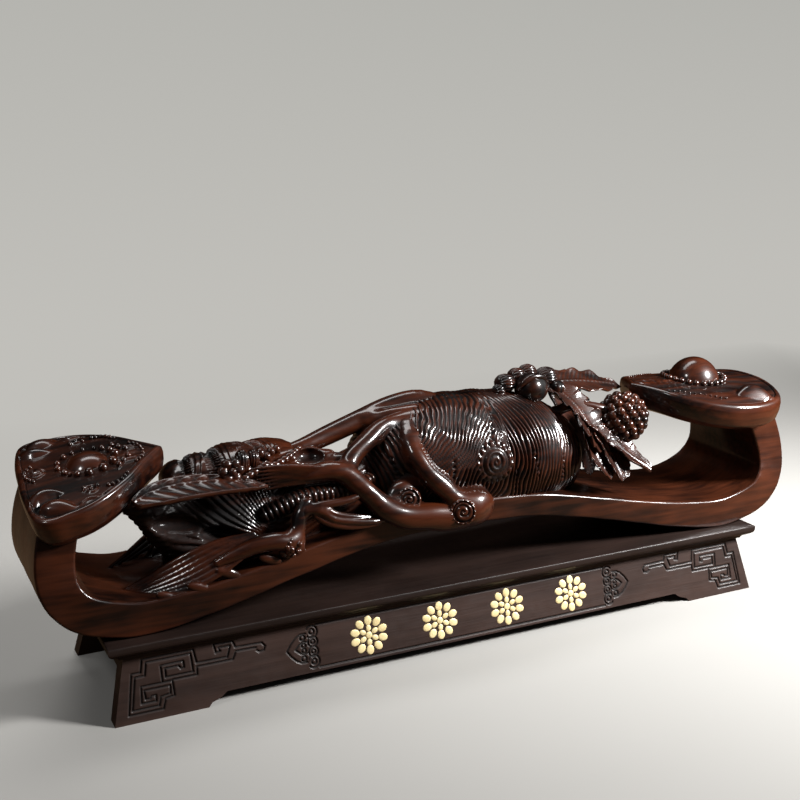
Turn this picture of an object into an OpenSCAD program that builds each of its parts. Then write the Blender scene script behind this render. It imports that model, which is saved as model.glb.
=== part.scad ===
// Twin-headed ruyi carved with a ginseng root, resting on a footed stand.
// Millimetres, +Z up, +X along the length, origin on the floor under the middle.

/* [Stand] */
// Length of the stand along its feet
stand_length = 520; // [440:2:620]
// Depth of the stand across its feet
stand_depth = 127; // [110:1:150]
// Height of the aprons
apron_height = 42; // [32:1:56]
// Thickness of the apron boards
apron_thickness = 12; // [9:0.5:16]
// How far each apron leans in from foot to top
apron_lean = 9.5; // [4:0.5:14]
// Height of the raised middle of the bottom edge
foot_rise = 8; // [5:0.5:14]
// Length of each foot at the floor
foot_length = 62; // [40:1:90]
// Length of the top board
board_length = 523; // [460:1:640]
// Depth of the top board
board_depth = 127; // [118:1:160]
// Thickness of the top board
board_thickness = 11.5; // [9:0.5:16]
// Height of the square fillet on the board's edge
board_fillet = 4; // [2:0.5:6]
// How far the moulding under the fillet steps in
moulding_in = 8; // [4:0.5:10]
// Height of the end rails
rail_height = 18; // [12:1:28]
// Setback of the end rails from the ends of the aprons
rail_setback = 6; // [3:0.5:12]

/* [Stand joinery] */
// Size of the corner blocks
block_size = 20; // [14:1:28]
// Height of the glue strips under the board
strip_height = 14; // [10:1:18]
// Width of the glue strips
strip_width = 18; // [15:1:24]
// Length of the glue strips
strip_length = 400; // [300:5:430]
// Screws in each glue strip
strip_screws = 3; // [2:1:5]
// Diameter of the screw shanks
screw_diameter = 4; // [3:0.5:5]
// Depth the screws reach into the board
screw_bite = 7; // [5:0.5:8]
// Diameter of the pegs that locate the ruyi
peg_diameter = 8; // [6:0.5:12]
// Height of the pegs above the board
peg_rise = 10; // [6:0.5:13]
// Depth of the pegs in the board
peg_depth = 8; // [5:0.5:8.5]
// Clearance round each peg in the handle
peg_clearance = 0.4; // [0.2:0.1:0.8]
// Clearance under the handle where it rests
seat_clearance = 0.3; // [0.2:0.05:0.5]

/* [Handle] */
// Length of the ruyi
ruyi_length = 600; // [540:2:680]
// Width of the handle
handle_width = 98; // [88:1:110]
// Distance of the ruyi's middle line in front of the stand's
ruyi_forward = 4; // [0:0.5:6]
// Distance between the two resting places
seat_span = 460; // [430:2:480]
// Height of the arch over the stand
arch_rise = 37.5; // [28:0.5:46]
// Thickness of the handle along the arch
arch_thickness = 17; // [15:0.5:22]
// Thickness of the handle round the scrolls
scroll_thickness = 25; // [20:0.5:28]
// Height of the scrolls where the necks stand upright
scroll_rise = 48; // [44:1:52]
// Height of the left neck above the board
left_neck_height = 84.5; // [83:0.5:87]
// Height of the right neck above the board
right_neck_height = 99; // [95:0.5:103]
// How far the left neck leans in at its top
left_neck_lean = 3; // [0:0.5:8]
// How far the right neck leans in at its top
right_neck_lean = 18; // [12:0.5:20]

/* [Heads] */
// Length of the left head from tip to lobes
left_head_length = 94; // [84:1:110]
// Width of the left head over its lobes
left_head_width = 128; // [118:1:144]
// Height of the left tip above the board
left_tip_height = 111.5; // [110:0.5:116]
// Slope of the left head
left_head_slope = 8.5; // [7:0.5:10]
// Roll of the left head towards the front
left_head_roll = 7.5; // [5:0.5:8]
// Turn of the left head away from the front
left_head_turn = 6; // [0:0.5:7]
// How far the lobes of the left head droop
left_head_droop = 5; // [3:0.5:7]
// Length of the right head from tip to lobes
right_head_length = 121; // [110:1:130]
// Width of the right head over its lobes
right_head_width = 124; // [116:1:140]
// Height of the right tip above the board
right_tip_height = 115; // [112:0.5:118]
// Setback of the right head from the end of the ruyi
right_head_setback = 4; // [0:0.5:8]
// Slope of the right head
right_head_slope = 2; // [1:0.5:4]
// How far the lobes of the right head droop
right_head_droop = 13; // [9:0.5:15]
// Thickness of both heads
head_thickness = 24; // [20:0.5:28]
// Radius of the left pearl
left_pearl_radius = 14; // [10:0.5:16]
// Height of the left pearl
left_pearl_height = 6; // [4:0.5:8]
// Radius of the right pearl
right_pearl_radius = 20; // [18:0.5:22]
// Height of the right pearl
right_pearl_height = 15.5; // [12:0.5:16]
// Depth of the pearl sockets
pearl_socket = 2; // [1:0.5:4]
// Diameter of the dowels between necks and heads
head_dowel_diameter = 8; // [6:0.5:10]
// Length of the dowels between necks and heads
head_dowel_length = 26; // [20:1:30]
// Distance between the two dowels of a head
head_dowel_span = 44; // [30:1:56]

/* [Carving] */
// Height of the carving above the crown of the handle
carving_rise = 82; // [78:0.5:86]
// Half height of the ginseng root
root_height = 47.5; // [44:0.5:51]
// Half width of the ginseng root
root_width = 51; // [46:0.5:54]
// Distance between the main wrinkles round the ginseng root
wrinkle_pitch = 20; // [15:1:30]
// Depth of the main wrinkles
wrinkle_depth = 1.5; // [0.5:0.5:2.5]
// Scale of the limbs' thickness
limb_scale = 1; // [0.85:0.05:1.2]
// Thickness of the leaves at the midrib
leaf_thickness = 3.5; // [2.5:0.25:5]
// Radius of the berry cluster
cluster_radius = 20; // [17:0.5:22]
// Diameter of the dowels under the carving
root_dowel_diameter = 10; // [8:0.5:12]
// Depth of the dowels in the handle
root_dowel_depth = 9; // [6:0.5:11]

/* [Hidden] */
$fn = 48;
e = 0.01;
board_top = apron_height + board_thickness;
seat_z = board_top + seat_clearance;
half = ruyi_length / 2;
seat_x = seat_span / 2;
top_mid = seat_z + arch_rise + arch_thickness;
ky = handle_width / 98;
kz = carving_rise / 82;
strip_step = strip_length / strip_screws;
strip_y = stand_depth / 2 - apron_lean - apron_thickness - 6;
peg_bore = peg_diameter + peg_clearance;
left_tip_x = -half + left_head_length;
right_tip_x = half - right_head_setback - right_head_length;
left_run = -left_tip_x / 206;
right_run = right_tip_x / 175;
neck_x = half - scroll_thickness / 2;

// Smooth curves through a few points
function pick(p, i) = i < 0 ? 2 * p[0] - p[1]
    : i >= len(p) ? 2 * p[len(p) - 1] - p[len(p) - 2] : p[i];
function bend(a, b, c, d, t) =
    0.5 * (2 * b + (c - a) * t + (2 * a - 5 * b + 4 * c - d) * t * t
    + (3 * b - a - 3 * c + d) * t * t * t);
function smooth(p, n) = [for (i = [0 : len(p) - 2]) for (k = [0 : n - 1])
    bend(pick(p, i - 1), p[i], p[i + 1], pick(p, i + 2), k / n), p[len(p) - 1]];
function unit(v) = v / norm(v);
function flip(p) = [for (i = [len(p) - 1 : -1 : 0]) p[i]];
function way(p, i) = unit(pick(p, i + 1) - pick(p, i - 1));

// Place of a carved point: along the handle between the tips of the heads, across it, above its crown
function run(x) = x < 0 ? left_run : right_run;
function at(p) = [p[0] * run(p[0]), p[1] * ky, top_mid + p[2] * kz];

// Rings of points joined into one closed skin
module loft(rings) {
    n = len(rings[0]);
    m = len(rings);
    points = [for (r = rings) each r];
    sides = [for (i = [0 : m - 2]) for (k = [0 : n - 1])
        let (a = i * n + k, b = i * n + (k + 1) % n) each [[a, b + n, b], [a, a + n, b + n]]];
    first = [for (k = [0 : n - 1]) k];
    last = [for (k = [n - 1 : -1 : 0]) (m - 1) * n + k];
    polyhedron(points, concat(sides, [first, last]));
}

// Ring of n points round a place, square to a direction
function ring(c, t, r, n) = let (u = unit(cross([0.25, 1, 0.3], t)), v = cross(t, u))
    [for (k = [0 : n - 1]) c + r * (cos(360 * k / n) * u + sin(360 * k / n) * v)];

// Round limb along points given as [x, y, z, radius]
module limb(p, n = 8, steps = 2) {
    s = smooth(p, steps);
    c = [for (q = s) at(q)];
    loft([for (i = [0 : len(s) - 1]) ring(c[i], way(c, i), s[i][3] * limb_scale, n)]);
}

// Leaf along points given as [x, y, z, half width], facing a direction
function blade(c, t, w, face) = let (u = unit(cross(face, t)), v = cross(t, u), h = leaf_thickness)
    [c + w * u, c + 0.5 * w * u + 0.5 * h * v, c + 0.6 * h * v, c - 0.5 * w * u + 0.5 * h * v,
     c - w * u, c - 0.5 * w * u - 0.3 * h * v, c - 0.4 * h * v, c + 0.5 * w * u - 0.3 * h * v];
module leaf(p, face) {
    s = smooth(p, 3);
    c = [for (q = s) at(q)];
    loft([for (i = [0 : len(s) - 1]) blade(c[i], way(c, i), s[i][3] * kz, face)]);
}

// Egg shape from its middle and three radii
function grown(c, r) = [r[0] * run(c[0]), r[1] * ky, r[2] * kz];
module round_egg(c, r, n, m) {
    o = at(c);
    loft([for (i = [0 : m]) let (a = -82 + 164 * i / m)
        [for (k = [0 : n - 1]) o + [r[0] * sin(a), r[1] * cos(a) * cos(360 * k / n),
            r[2] * cos(a) * sin(360 * k / n)]]]);
}
module egg(c, r, n = 10, m = 6) {
    round_egg(c, grown(c, r), n, m);
}

// Solid with a YZ outline along the length, and one with an XZ outline across it
module along(outline, length) {
    rotate([90, 0, 90])
        translate([0, 0, -length / 2])
            linear_extrude(length) polygon(outline);
}
module across(outline, width) {
    rotate([90, 0, 0])
        translate([0, 0, -width / 2])
            linear_extrude(width) polygon(outline);
}
function mirrored(p) = concat(p, [for (q = flip(p)) [-q[0], q[1]]]);

// Stand outlines
function lean(z) = apron_lean * z / apron_height;
function board_edge(l) = [[l - moulding_in, apron_height], [l - 0.75 * moulding_in, apron_height + 2.5],
    [l - 0.2 * moulding_in, board_top - board_fillet - 2], [l, board_top - board_fillet],
    [l, board_top]];
apron_end = stand_length / 2;
apron_skirt = mirrored([[apron_end, 0], [apron_end - apron_lean, apron_height]]);
foot_in = apron_end - foot_length;
foot_gap = mirrored([[foot_in, -1], [foot_in - 2, 0.35 * foot_rise],
    [foot_in - 8, 0.6 * foot_rise], [foot_in - 12, foot_rise]]);
front_y = stand_depth / 2;
hollow_y = front_y - apron_thickness;
hollow_x = apron_end - rail_setback - apron_thickness;

module apron(side) {
    difference() {
        intersection() {
            along([[side * front_y, 0], [side * (front_y - apron_lean), apron_height],
                [side * (hollow_y - apron_lean), apron_height], [side * hollow_y, 0]],
                stand_length + 2);
            across(apron_skirt, stand_depth + 2);
        }
        across(foot_gap, stand_depth + 2);
    }
}

module stand_hollow() {
    intersection() {
        along(mirrored([[hollow_y, 0], [hollow_y - apron_lean, apron_height]]), stand_length);
        across(mirrored([[hollow_x, 0], [hollow_x - apron_lean, apron_height]]), stand_depth);
    }
}

module end_rail(side) {
    out = side * (apron_end - rail_setback);
    in = side * hollow_x;
    low = apron_height - rail_height;
    shift = side * lean(low);
    intersection() {
        across([[out - shift, low], [out - side * apron_lean, apron_height],
            [in - side * apron_lean, apron_height], [in - shift, low]], stand_depth);
        along(mirrored([[hollow_y, 0], [hollow_y - apron_lean, apron_height]]), stand_length);
    }
}

module screw_rows() {
    for (s = [-1, 1])
        for (i = [0 : strip_screws - 1])
            translate([(i - (strip_screws - 1) / 2) * strip_step, s * strip_y, apron_height - strip_height])
                children();
}

module screw_shape() {
    cylinder(d1 = 2 * screw_diameter, d2 = screw_diameter, h = screw_diameter / 2);
    cylinder(d = screw_diameter, h = strip_height + screw_bite);
}

module peg_places(z) {
    for (s = [-1, 1])
        translate([s * seat_x, 0, z])
            children();
}

module top_board() {
    color("#2b1a16")
        difference() {
            intersection() {
                along(mirrored(board_edge(board_depth / 2)), board_length + 2);
                across(mirrored(board_edge(board_length / 2)), board_depth + 2);
            }
            screw_rows() screw_shape();
            peg_places(board_top - peg_depth) cylinder(d = peg_diameter, h = peg_depth + 1);
        }
}

module front_apron() {
    color("#3a2a26") apron(-1);
}

module rear_apron() {
    color("#3a2a26") apron(1);
}

module left_end_rail() {
    color("#33231f") end_rail(-1);
}

module right_end_rail() {
    color("#33231f") end_rail(1);
}

module corner_blocks() {
    color("#5a4030")
        intersection() {
            stand_hollow();
            for (s = [-1, 1])
                for (t = [-1, 1])
                    translate([s * (hollow_x - block_size / 2), t * (hollow_y - block_size / 2),
                        apron_height - block_size / 2])
                        cube(block_size, center = true);
        }
}

module glue_strips() {
    color("#5a4030")
        difference() {
            intersection() {
                stand_hollow();
                for (t = [-1, 1])
                    translate([0, t * (hollow_y - strip_width / 2), apron_height - strip_height / 2])
                        cube([strip_length, strip_width, strip_height], center = true);
            }
            screw_rows() screw_shape();
        }
}

module strip_screws_set() {
    color("#b8a060")
        screw_rows() screw_shape();
}

module locating_pegs() {
    color("#4a3024")
        peg_places(board_top - peg_depth) cylinder(d = peg_diameter, h = peg_depth + peg_rise);
}

// Handle: the under edge from the crown of the arch to the end of a neck
reach = half - seat_x;
function under_half(lean, top) = concat(
    [for (q = [[0, 1], [0.26, 0.93], [0.5, 0.65], [0.65, 0.43], [0.82, 0.18], [1, 0]])
        [q[0] * seat_x, seat_z + q[1] * arch_rise]],
    [for (q = [[0.4, 0.06], [0.7, 0.22], [0.88, 0.46], [0.97, 0.72], [1, 1]])
        [seat_x + q[0] * reach, seat_z + q[1] * scroll_rise]],
    [for (t = [0.35, 0.7, 1])
        [half - lean * t * t, seat_z + scroll_rise + t * (top - scroll_rise)]]);
under_left = smooth(under_half(left_neck_lean, left_neck_height), 3);
under_right = smooth(under_half(right_neck_lean, right_neck_height), 3);
under = concat([for (q = flip(under_left)) [-q[0], q[1]]],
    [for (i = [1 : len(under_right) - 1]) under_right[i]]);
function ease(t) = t < 0 ? 0 : t > 1 ? 1 : t * t * (3 - 2 * t);
function thick(x) = arch_thickness
    + (scroll_thickness - arch_thickness) * ease((abs(x) - 0.5 * seat_x) / (0.75 * seat_x));
function up_from(i) = let (t = way(under, i)) [-t[1], t[0]];
upper = [for (i = [0 : len(under) - 1]) under[i] + thick(under[i][0]) * up_from(i)];
crown = [for (q = upper) if (abs(q[0]) < half - scroll_thickness - 12 && q[1] < top_mid + 1) q];

module handle_solid() {
    across(concat(under, flip(upper)), handle_width);
}

// Everything below the handle's upper face
module below_handle() {
    across(concat(crown, [[seat_x, 0], [-seat_x, 0]]), 300);
}

// Heads: half outlines as fractions of length and half width, tip first
left_heart = [[0, 0], [0.13, 0.25], [0.29, 0.57], [0.46, 0.8], [0.6, 0.92], [0.72, 0.97], [0.83, 1],
    [0.92, 0.95], [0.97, 0.78], [1, 0.34], [1, 0]];
right_heart = [[0, 0], [0.13, 0.54], [0.29, 0.82], [0.46, 0.96], [0.6, 1], [0.72, 0.99], [0.83, 0.94],
    [0.92, 0.83], [0.97, 0.64], [1, 0.35], [1, 0]];
function whole(p) = concat(p, [for (i = [len(p) - 2 : -1 : 1]) [p[i][0], -p[i][1]]]);
head_rings = [[-1, 0.03], [-1, 0.4], [-1, 0.72], [-0.83, 0.88], [-0.58, 0.97], [-0.12, 1], [0, 0.985],
    [0, 0.66], [0, 0.33], [0, 0.03]];

// Head with its tip at the origin, lobes towards +X, the middle line of its top at z = 0
module head_shape(l, w, heart, droop) {
    outline = whole(smooth(heart, 2));
    loft([for (h = head_rings) [for (q = outline) let (y = q[1] * h[1])
        [l * (0.6 + (q[0] - 0.6) * h[1]), -w / 2 * y, h[0] * head_thickness - droop * y * y]]]);
}
module head_place(side) {
    if (side < 0)
        translate([left_tip_x, 0, board_top + left_tip_height])
            rotate([-left_head_roll, left_head_slope, 180 - left_head_turn])
                children();
    else
        translate([right_tip_x, 0, board_top + right_tip_height])
            rotate([0, right_head_slope, 0])
                children();
}
module left_head_solid() {
    head_place(-1) head_shape(left_head_length, left_head_width, left_heart, left_head_droop);
}
module right_head_solid() {
    head_place(1) head_shape(right_head_length, right_head_width, right_heart, right_head_droop);
}
module pearl_place(side) {
    l = side < 0 ? left_head_length : right_head_length;
    head_place(side) translate([0.52 * l, 0, 0]) children();
}
module pearl(r, h) {
    k = (r * r + h * h) / (2 * h);
    translate([0, 0, -pearl_socket]) cylinder(r = r, h = pearl_socket);
    intersection() {
        translate([0, 0, h - k]) sphere(k);
        cylinder(r = r + 1, h = h + 1);
    }
}
module head_dowel_rods() {
    for (s = [-1, 1])
        for (t = [-1, 1])
            translate([s * (neck_x - 0.16 * scroll_thickness), t * head_dowel_span / 2,
                seat_z + (s < 0 ? left_neck_height : right_neck_height) - head_dowel_length])
                cylinder(d = head_dowel_diameter, h = head_dowel_length);
}

module left_head() {
    color("#3b1d16")
        difference() {
            left_head_solid();
            pearl_place(-1) translate([0, 0, -pearl_socket])
                cylinder(r = left_pearl_radius, h = pearl_socket + 1);
            head_dowel_rods();
        }
}

module right_head() {
    color("#3b1d16")
        difference() {
            right_head_solid();
            pearl_place(1) translate([0, 0, -pearl_socket])
                cylinder(r = right_pearl_radius, h = pearl_socket + 1);
            head_dowel_rods();
        }
}

module left_pearl() {
    color("#4a261b") pearl_place(-1) pearl(left_pearl_radius, left_pearl_height);
}

module right_pearl() {
    color("#4a261b") pearl_place(1) pearl(right_pearl_radius, right_pearl_height);
}

module head_dowels() {
    color("#6b4a30") head_dowel_rods();
}

// Dowels between handle and carving
module root_dowel_rods() {
    for (x = [-150, 0, 70])
        let (i = [for (q = upper) if (q[0] <= x * run(x) && q[1] < top_mid + 1) q])
            translate([x * run(x), 0, i[len(i) - 1][1] - root_dowel_depth])
                cylinder(d = root_dowel_diameter, h = root_dowel_depth + 16);
}

module root_dowels() {
    color("#6b4a30") root_dowel_rods();
}

module handle() {
    color("#3a1c15")
        difference() {
            handle_solid();
            left_head_solid();
            right_head_solid();
            head_dowel_rods();
            root_dowel_rods();
            translate([0, ruyi_forward, 0])
                peg_places(seat_z - 5) cylinder(d = peg_bore, h = peg_rise + 7);
        }
}

// Ginseng root: [x, share of half size, middle height]
root_rings = [[-68, 0.25, 21], [-60, 0.55, 21], [-42, 0.8, 21.5], [-12, 0.955, 22], [20, 1, 21.5],
    [52, 1, 20], [80, 0.9, 17.5], [100, 0.7, 14.5], [112, 0.45, 12.5], [118, 0.18, 11.5]];
module root_solid() {
    loft([for (q = smooth(root_rings, 2)) [for (k = [0 : 17])
        at([q[0], 0, q[2]]) + q[1] * [0, root_width * cos(20 * k), root_height * sin(20 * k)]]]);
}
// The same root cut by its main wrinkles, which lie within the plain form
root_share = [for (q = smooth(root_rings, 2)) [q[0], q[1]]];
root_middle = [for (q = smooth(root_rings, 2)) [q[0], q[2]]];
function wrinkle(x) = wrinkle_depth * pow(abs(cos(180 * x / wrinkle_pitch)), 3);
module wrinkled_root() {
    first = root_rings[0][0];
    last = root_rings[len(root_rings) - 1][0];
    loft([for (i = [0 : 45]) let (x = first + (last - first) * i / 45, s = lookup(x, root_share),
        w = max(s * root_width - wrinkle(x), 2), h = max(s * root_height - wrinkle(x), 2))
        [for (k = [0 : 17]) at([x, 0, lookup(x, root_middle)]) + [0, w * cos(20 * k), h * sin(20 * k)]]]);
}
module ginseng_root() {
    color("#43221a")
        difference() {
            wrinkled_root();
            below_handle();
            root_dowel_rods();
        }
}

// Mass of lesser roots left of the ginseng: [x, y, z, half width, half height]
mass_rings = [[-226, -2, 14, 11, 7], [-213, -3, 6, 20, 15], [-200, -4, -5, 26, 28], [-178, -4, -6, 29, 31],
    [-150, -4, -4, 30, 32], [-120, -4, 0, 29, 29], [-92, -4, 5, 27, 26], [-70, -4, 10, 24, 22],
    [-50, -4, 16, 18, 16]];
module mass_solid() {
    loft([for (q = smooth(mass_rings, 2)) [for (k = [0 : 11])
        at(q) + [0, q[3] * ky * cos(30 * k), q[4] * kz * sin(30 * k)]]]);
}
module root_mass() {
    color("#331a14")
        difference() {
            mass_solid();
            below_handle();
            root_solid();
            root_dowel_rods();
        }
}

module upper_solid() {
    limb([[-124, 2, 40, 5], [-107, 1, 43, 6], [-86, 5, 47, 7], [-59, 8, 54, 7.5], [-33, 10, 61, 7.5],
        [-10, 10, 63, 7.5], [8, 8, 58, 6]]);
}
module upper_limb() {
    color("#4a271d")
        difference() {
            upper_solid();
            root_solid();
        }
}

module middle_solid() {
    limb([[-126, -24, 24, 5], [-106, -31, 32, 6], [-93, -35, 33, 7], [-83, -41, 28, 7], [-76, -46, 19, 7],
        [-66, -49, 8, 7.5], [-50, -50, 0, 9], [-28, -52, -4, 10.5], [-6, -53, -5, 11.5], [13, -52, -5, 11],
        [21, -49, -5, 7]]);
    limb([[-86, -38, 31, 5], [-73, -28, 42, 6.5], [-52, -16, 51, 7], [-30, -6, 52, 6]]);
}
module middle_limb() {
    color("#4a271d")
        difference() {
            middle_solid();
            root_solid();
            mass_solid();
            handle_solid();
        }
}

module crossing_solid() {
    limb([[-46, -24, 49, 4], [-38, -40, 39, 6], [-28, -46, 28, 7], [-18, -50, 14, 7.5], [-8, -52, 3, 8]]);
    limb([[28, -15, 62, 4], [7, -30, 57, 6], [-14, -40, 45, 6.5], [-25, -45, 34, 6.5], [-26, -47, 26, 6]]);
}
module crossing_limb() {
    color("#4a271d")
        difference() {
            crossing_solid();
            root_solid();
            middle_solid();
            handle_solid();
        }
}

module ringed_solid() {
    limb([[-144, -30, 6, 6.5], [-126, -34, 13, 7], [-110, -36, 16, 7], [-94, -35, 17, 6.5], [-76, -31, 18, 6],
        [-58, -22, 20, 5]]);
}
module ringed_root() {
    color("#40211a")
        difference() {
            ringed_solid();
            root_solid();
            mass_solid();
            middle_solid();
        }
}

module forked_solid() {
    limb([[-116, -46, 14, 3], [-98, -49, 16, 3.5], [-87, -49, 18, 3.5], [-74, -45, 21, 3]], 6);
    limb([[-116, -46, 13, 3], [-104, -52, 7, 3.5], [-88, -54, 4, 4], [-73, -53, 2, 4], [-62, -50, 2, 3]], 6);
}
module forked_rootlet() {
    color("#40211a")
        difference() {
            forked_solid();
            middle_solid();
            ringed_solid();
        }
}

module node_solid() {
    limb([[-190, -36, -18, 4], [-176, -42, -10, 5.5], [-161, -46, -4, 6.5], [-146, -48, -6, 6.5],
        [-136, -47, -10, 9], [-130, -43, -10, 6]]);
    limb([[-136, -47, -8, 6], [-130, -44, 2, 5.5], [-125, -38, 12, 5]]);
}
module node_limb() {
    color("#4a271d")
        difference() {
            node_solid();
            handle_solid();
            mass_solid();
            ringed_solid();
        }
}

module rear_solid() {
    limb([[0, 40, 30, 6], [-30, 44, 22, 7.5], [-64, 42, 12, 8], [-100, 39, 4, 7.5], [-140, 38, -8, 7],
        [-176, 36, -17, 6], [-206, 30, -28, 4.5]]);
}
module rear_limb() {
    color("#4a271d")
        difference() {
            rear_solid();
            handle_solid();
            mass_solid();
            root_solid();
        }
}

module left_leaf_solid() {
    leaf([[-233, -42, 31, 4], [-221, -37, 33, 11], [-204, -33, 34.5, 14], [-181, -32, 34.5, 13],
        [-163, -36, 33, 8], [-148, -42, 31.5, 2]], [0, -0.27, 0.96]);
}
module left_leaf() {
    color("#452419")
        difference() {
            left_leaf_solid();
            mass_solid();
        }
}

module reishi_solid() {
    egg([-194, 2, 30], [15, 21, 11]);
    egg([-177, 6, 35], [18, 26, 12]);
    egg([-153, 8, 38], [21, 29, 12]);
    egg([-128, 8, 38], [20, 24, 11]);
}
module reishi_caps() {
    color("#43221a")
        difference() {
            reishi_solid();
            mass_solid();
            left_leaf_solid();
            upper_solid();
        }
}

module flower_buds() {
    color("#4a261b")
        difference() {
            for (p = [[-158, -17, 44], [-147, -15, 46], [-137, -14, 44]])
                egg(p, [6, 6, 6], 8, 5);
            reishi_solid();
        }
}

module bud_solid() {
    egg([82, -6, 68], [12, 12, 12]);
    egg([66, 0, 70], [9, 9, 8]);
    egg([86, 4, 74], [8, 9, 7.5]);
    egg([98, 2, 69], [9, 9, 8]);
}
module crown_bud() {
    color("#4a261b")
        difference() {
            bud_solid();
            root_solid();
        }
}

module front_leaf_solid() {
    leaf([[87, -10, 64, 3], [104, -26, 52, 16], [114, -35, 36, 22], [123, -41, 16, 20], [134, -45, 4, 11],
        [145, -47, -4, 2]], [0.55, -0.8, 0.35]);
}
module front_leaf() {
    color("#452419")
        difference() {
            front_leaf_solid();
            root_solid();
            bud_solid();
        }
}

module side_leaf_solid() {
    leaf([[106, -9, 51, 3], [119, -24, 45, 12], [136, -34, 26, 16], [152, -41, 10, 11], [167, -46, -1, 2]],
        [0.5, -0.6, 0.6]);
}
module side_leaf() {
    color("#452419")
        difference() {
            side_leaf_solid();
            front_leaf_solid();
            stalk_solid();
        }
}

module rear_leaf_solid() {
    leaf([[93, 4, 66, 3], [110, 9, 66, 12], [130, 13, 66, 16], [152, 18, 64, 12], [170, 25, 58, 2]],
        [0.1, -0.45, 0.85]);
}
module rear_leaf() {
    color("#452419")
        difference() {
            rear_leaf_solid();
            bud_solid();
        }
}

module stalk_solid() {
    limb([[94, -5, 44, 4.5], [114, -11, 51, 4], [134, -17, 48, 4], [150, -20, 40, 4]]);
}
module berry_stalk() {
    color("#40211a")
        difference() {
            stalk_solid();
            root_solid();
            front_leaf_solid();
        }
}

module berry_cluster() {
    color("#4a261b")
        difference() {
            round_egg([157, -20, 38], [cluster_radius, 0.9 * cluster_radius, cluster_radius], 16, 9);
            stalk_solid();
            front_leaf_solid();
            side_leaf_solid();
        }
}

// Sets a piece of the ruyi at its place along the depth of the stand
module on_stand() {
    translate([0, -ruyi_forward, 0]) children();
}

top_board();
front_apron();
rear_apron();
left_end_rail();
right_end_rail();
corner_blocks();
glue_strips();
strip_screws_set();
locating_pegs();
on_stand() handle();
on_stand() left_head();
on_stand() right_head();
on_stand() left_pearl();
on_stand() right_pearl();
on_stand() head_dowels();
on_stand() ginseng_root();
on_stand() root_mass();
on_stand() upper_limb();
on_stand() middle_limb();
on_stand() crossing_limb();
on_stand() ringed_root();
on_stand() forked_rootlet();
on_stand() node_limb();
on_stand() rear_limb();
on_stand() left_leaf();
on_stand() reishi_caps();
on_stand() flower_buds();
on_stand() crown_bud();
on_stand() front_leaf();
on_stand() side_leaf();
on_stand() rear_leaf();
on_stand() berry_stalk();
on_stand() berry_cluster();
on_stand() root_dowels();
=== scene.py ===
"""Dressed model of a twin-headed wooden ruyi, carved with a ginseng root, on its footed stand.

Carved surfaces are grids of rings or skins of distance fields, worked out in millimetres in the frame of
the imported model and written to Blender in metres. Pieces ride on its two bodies: the stand and the ruyi.
"""

import logging
import math
from dataclasses import dataclass, field, replace
from enum import Enum
from typing import Callable, Sequence

import bpy
import numpy as np
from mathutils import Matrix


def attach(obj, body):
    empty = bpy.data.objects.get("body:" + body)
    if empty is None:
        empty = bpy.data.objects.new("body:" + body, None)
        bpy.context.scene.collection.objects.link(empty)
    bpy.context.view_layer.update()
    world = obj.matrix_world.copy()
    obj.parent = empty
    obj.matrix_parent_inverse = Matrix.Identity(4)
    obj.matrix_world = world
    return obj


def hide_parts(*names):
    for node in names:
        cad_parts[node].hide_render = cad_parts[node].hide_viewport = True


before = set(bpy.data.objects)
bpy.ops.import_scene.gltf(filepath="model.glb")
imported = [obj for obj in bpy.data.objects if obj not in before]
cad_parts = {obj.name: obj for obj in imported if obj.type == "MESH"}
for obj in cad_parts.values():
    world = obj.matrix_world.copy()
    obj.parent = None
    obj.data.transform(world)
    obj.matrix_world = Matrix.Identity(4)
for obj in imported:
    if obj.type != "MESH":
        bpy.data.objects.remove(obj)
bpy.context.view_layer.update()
LOG = logging.getLogger("ruyi")
Array = np.ndarray
Pair = tuple[float, float]
Triple = tuple[float, float, float]
Rows = Sequence[Sequence[float]]
Tree, Node, Socket = bpy.types.NodeTree, bpy.types.Node, bpy.types.NodeSocket
# Full turn in radians.
TURN = 2.0 * math.pi
# Metres in a millimetre.
MM = 0.001
# Height in mm of the middle of the handle's upper face.
CROWN = 108.3
# How far in mm the ruyi sits in front of the stand's middle line.
FORWARD = 4.0
# Distance in mm past which a field needn't be known.
REACH = 16.0
# Distance in mm that stands for nothing near.
FAR = 99.0


class Body(str, Enum):
    """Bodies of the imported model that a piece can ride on."""
    STAND = "stand"
    RUYI = "ruyi"


class Slot(str, Enum):
    """Material slots of the record, passed along with the pieces made here."""
    CARVED = "carved_wood"
    STAND = "stand_wood"


def unit(v: Array) -> Array:
    """Returns vectors scaled to length one along the last axis."""
    return v / np.maximum(np.linalg.norm(v, axis=-1, keepdims=True), 1e-9)


def held(v: Array) -> Array:
    """Returns values held between 0 and 1."""
    return np.clip(v, 0.0, 1.0)


def angles(count: int) -> Array:
    """Returns angles spread evenly round a full turn."""
    return np.linspace(0.0, TURN, count, endpoint=False)


def disc(inner: float, rings: int, sides: int) -> Sequence[Array]:
    """Returns the share of the radius and the angle at the points of a round grid."""
    return np.meshgrid(np.linspace(inner, 1.0, rings), angles(sides), indexing="ij")


def lengths(path: Array) -> Array:
    """Returns the length along a path at each of its points."""
    return np.r_[0.0, np.cumsum(np.linalg.norm(np.diff(path[:, :3], axis=0), axis=1))]


def to_line(x: Array, z: Array, line: Array) -> Array:
    """Returns the distance from points to a line of straight lengths."""
    near = np.full(np.shape(x), FAR)
    for a, b in zip(line[:-1], line[1:]):
        d = b - a
        t = held(((x - a[0]) * d[0] + (z - a[1]) * d[1]) / (d @ d))
        near = np.minimum(near, np.hypot(x - a[0] - t * d[0], z - a[1] - t * d[1]))
    return near


def ease(t: Array) -> Array:
    """Returns the smooth step from 0 to 1 of values clipped to that range."""
    t = held(t)
    return t * t * (3.0 - 2.0 * t)


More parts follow.
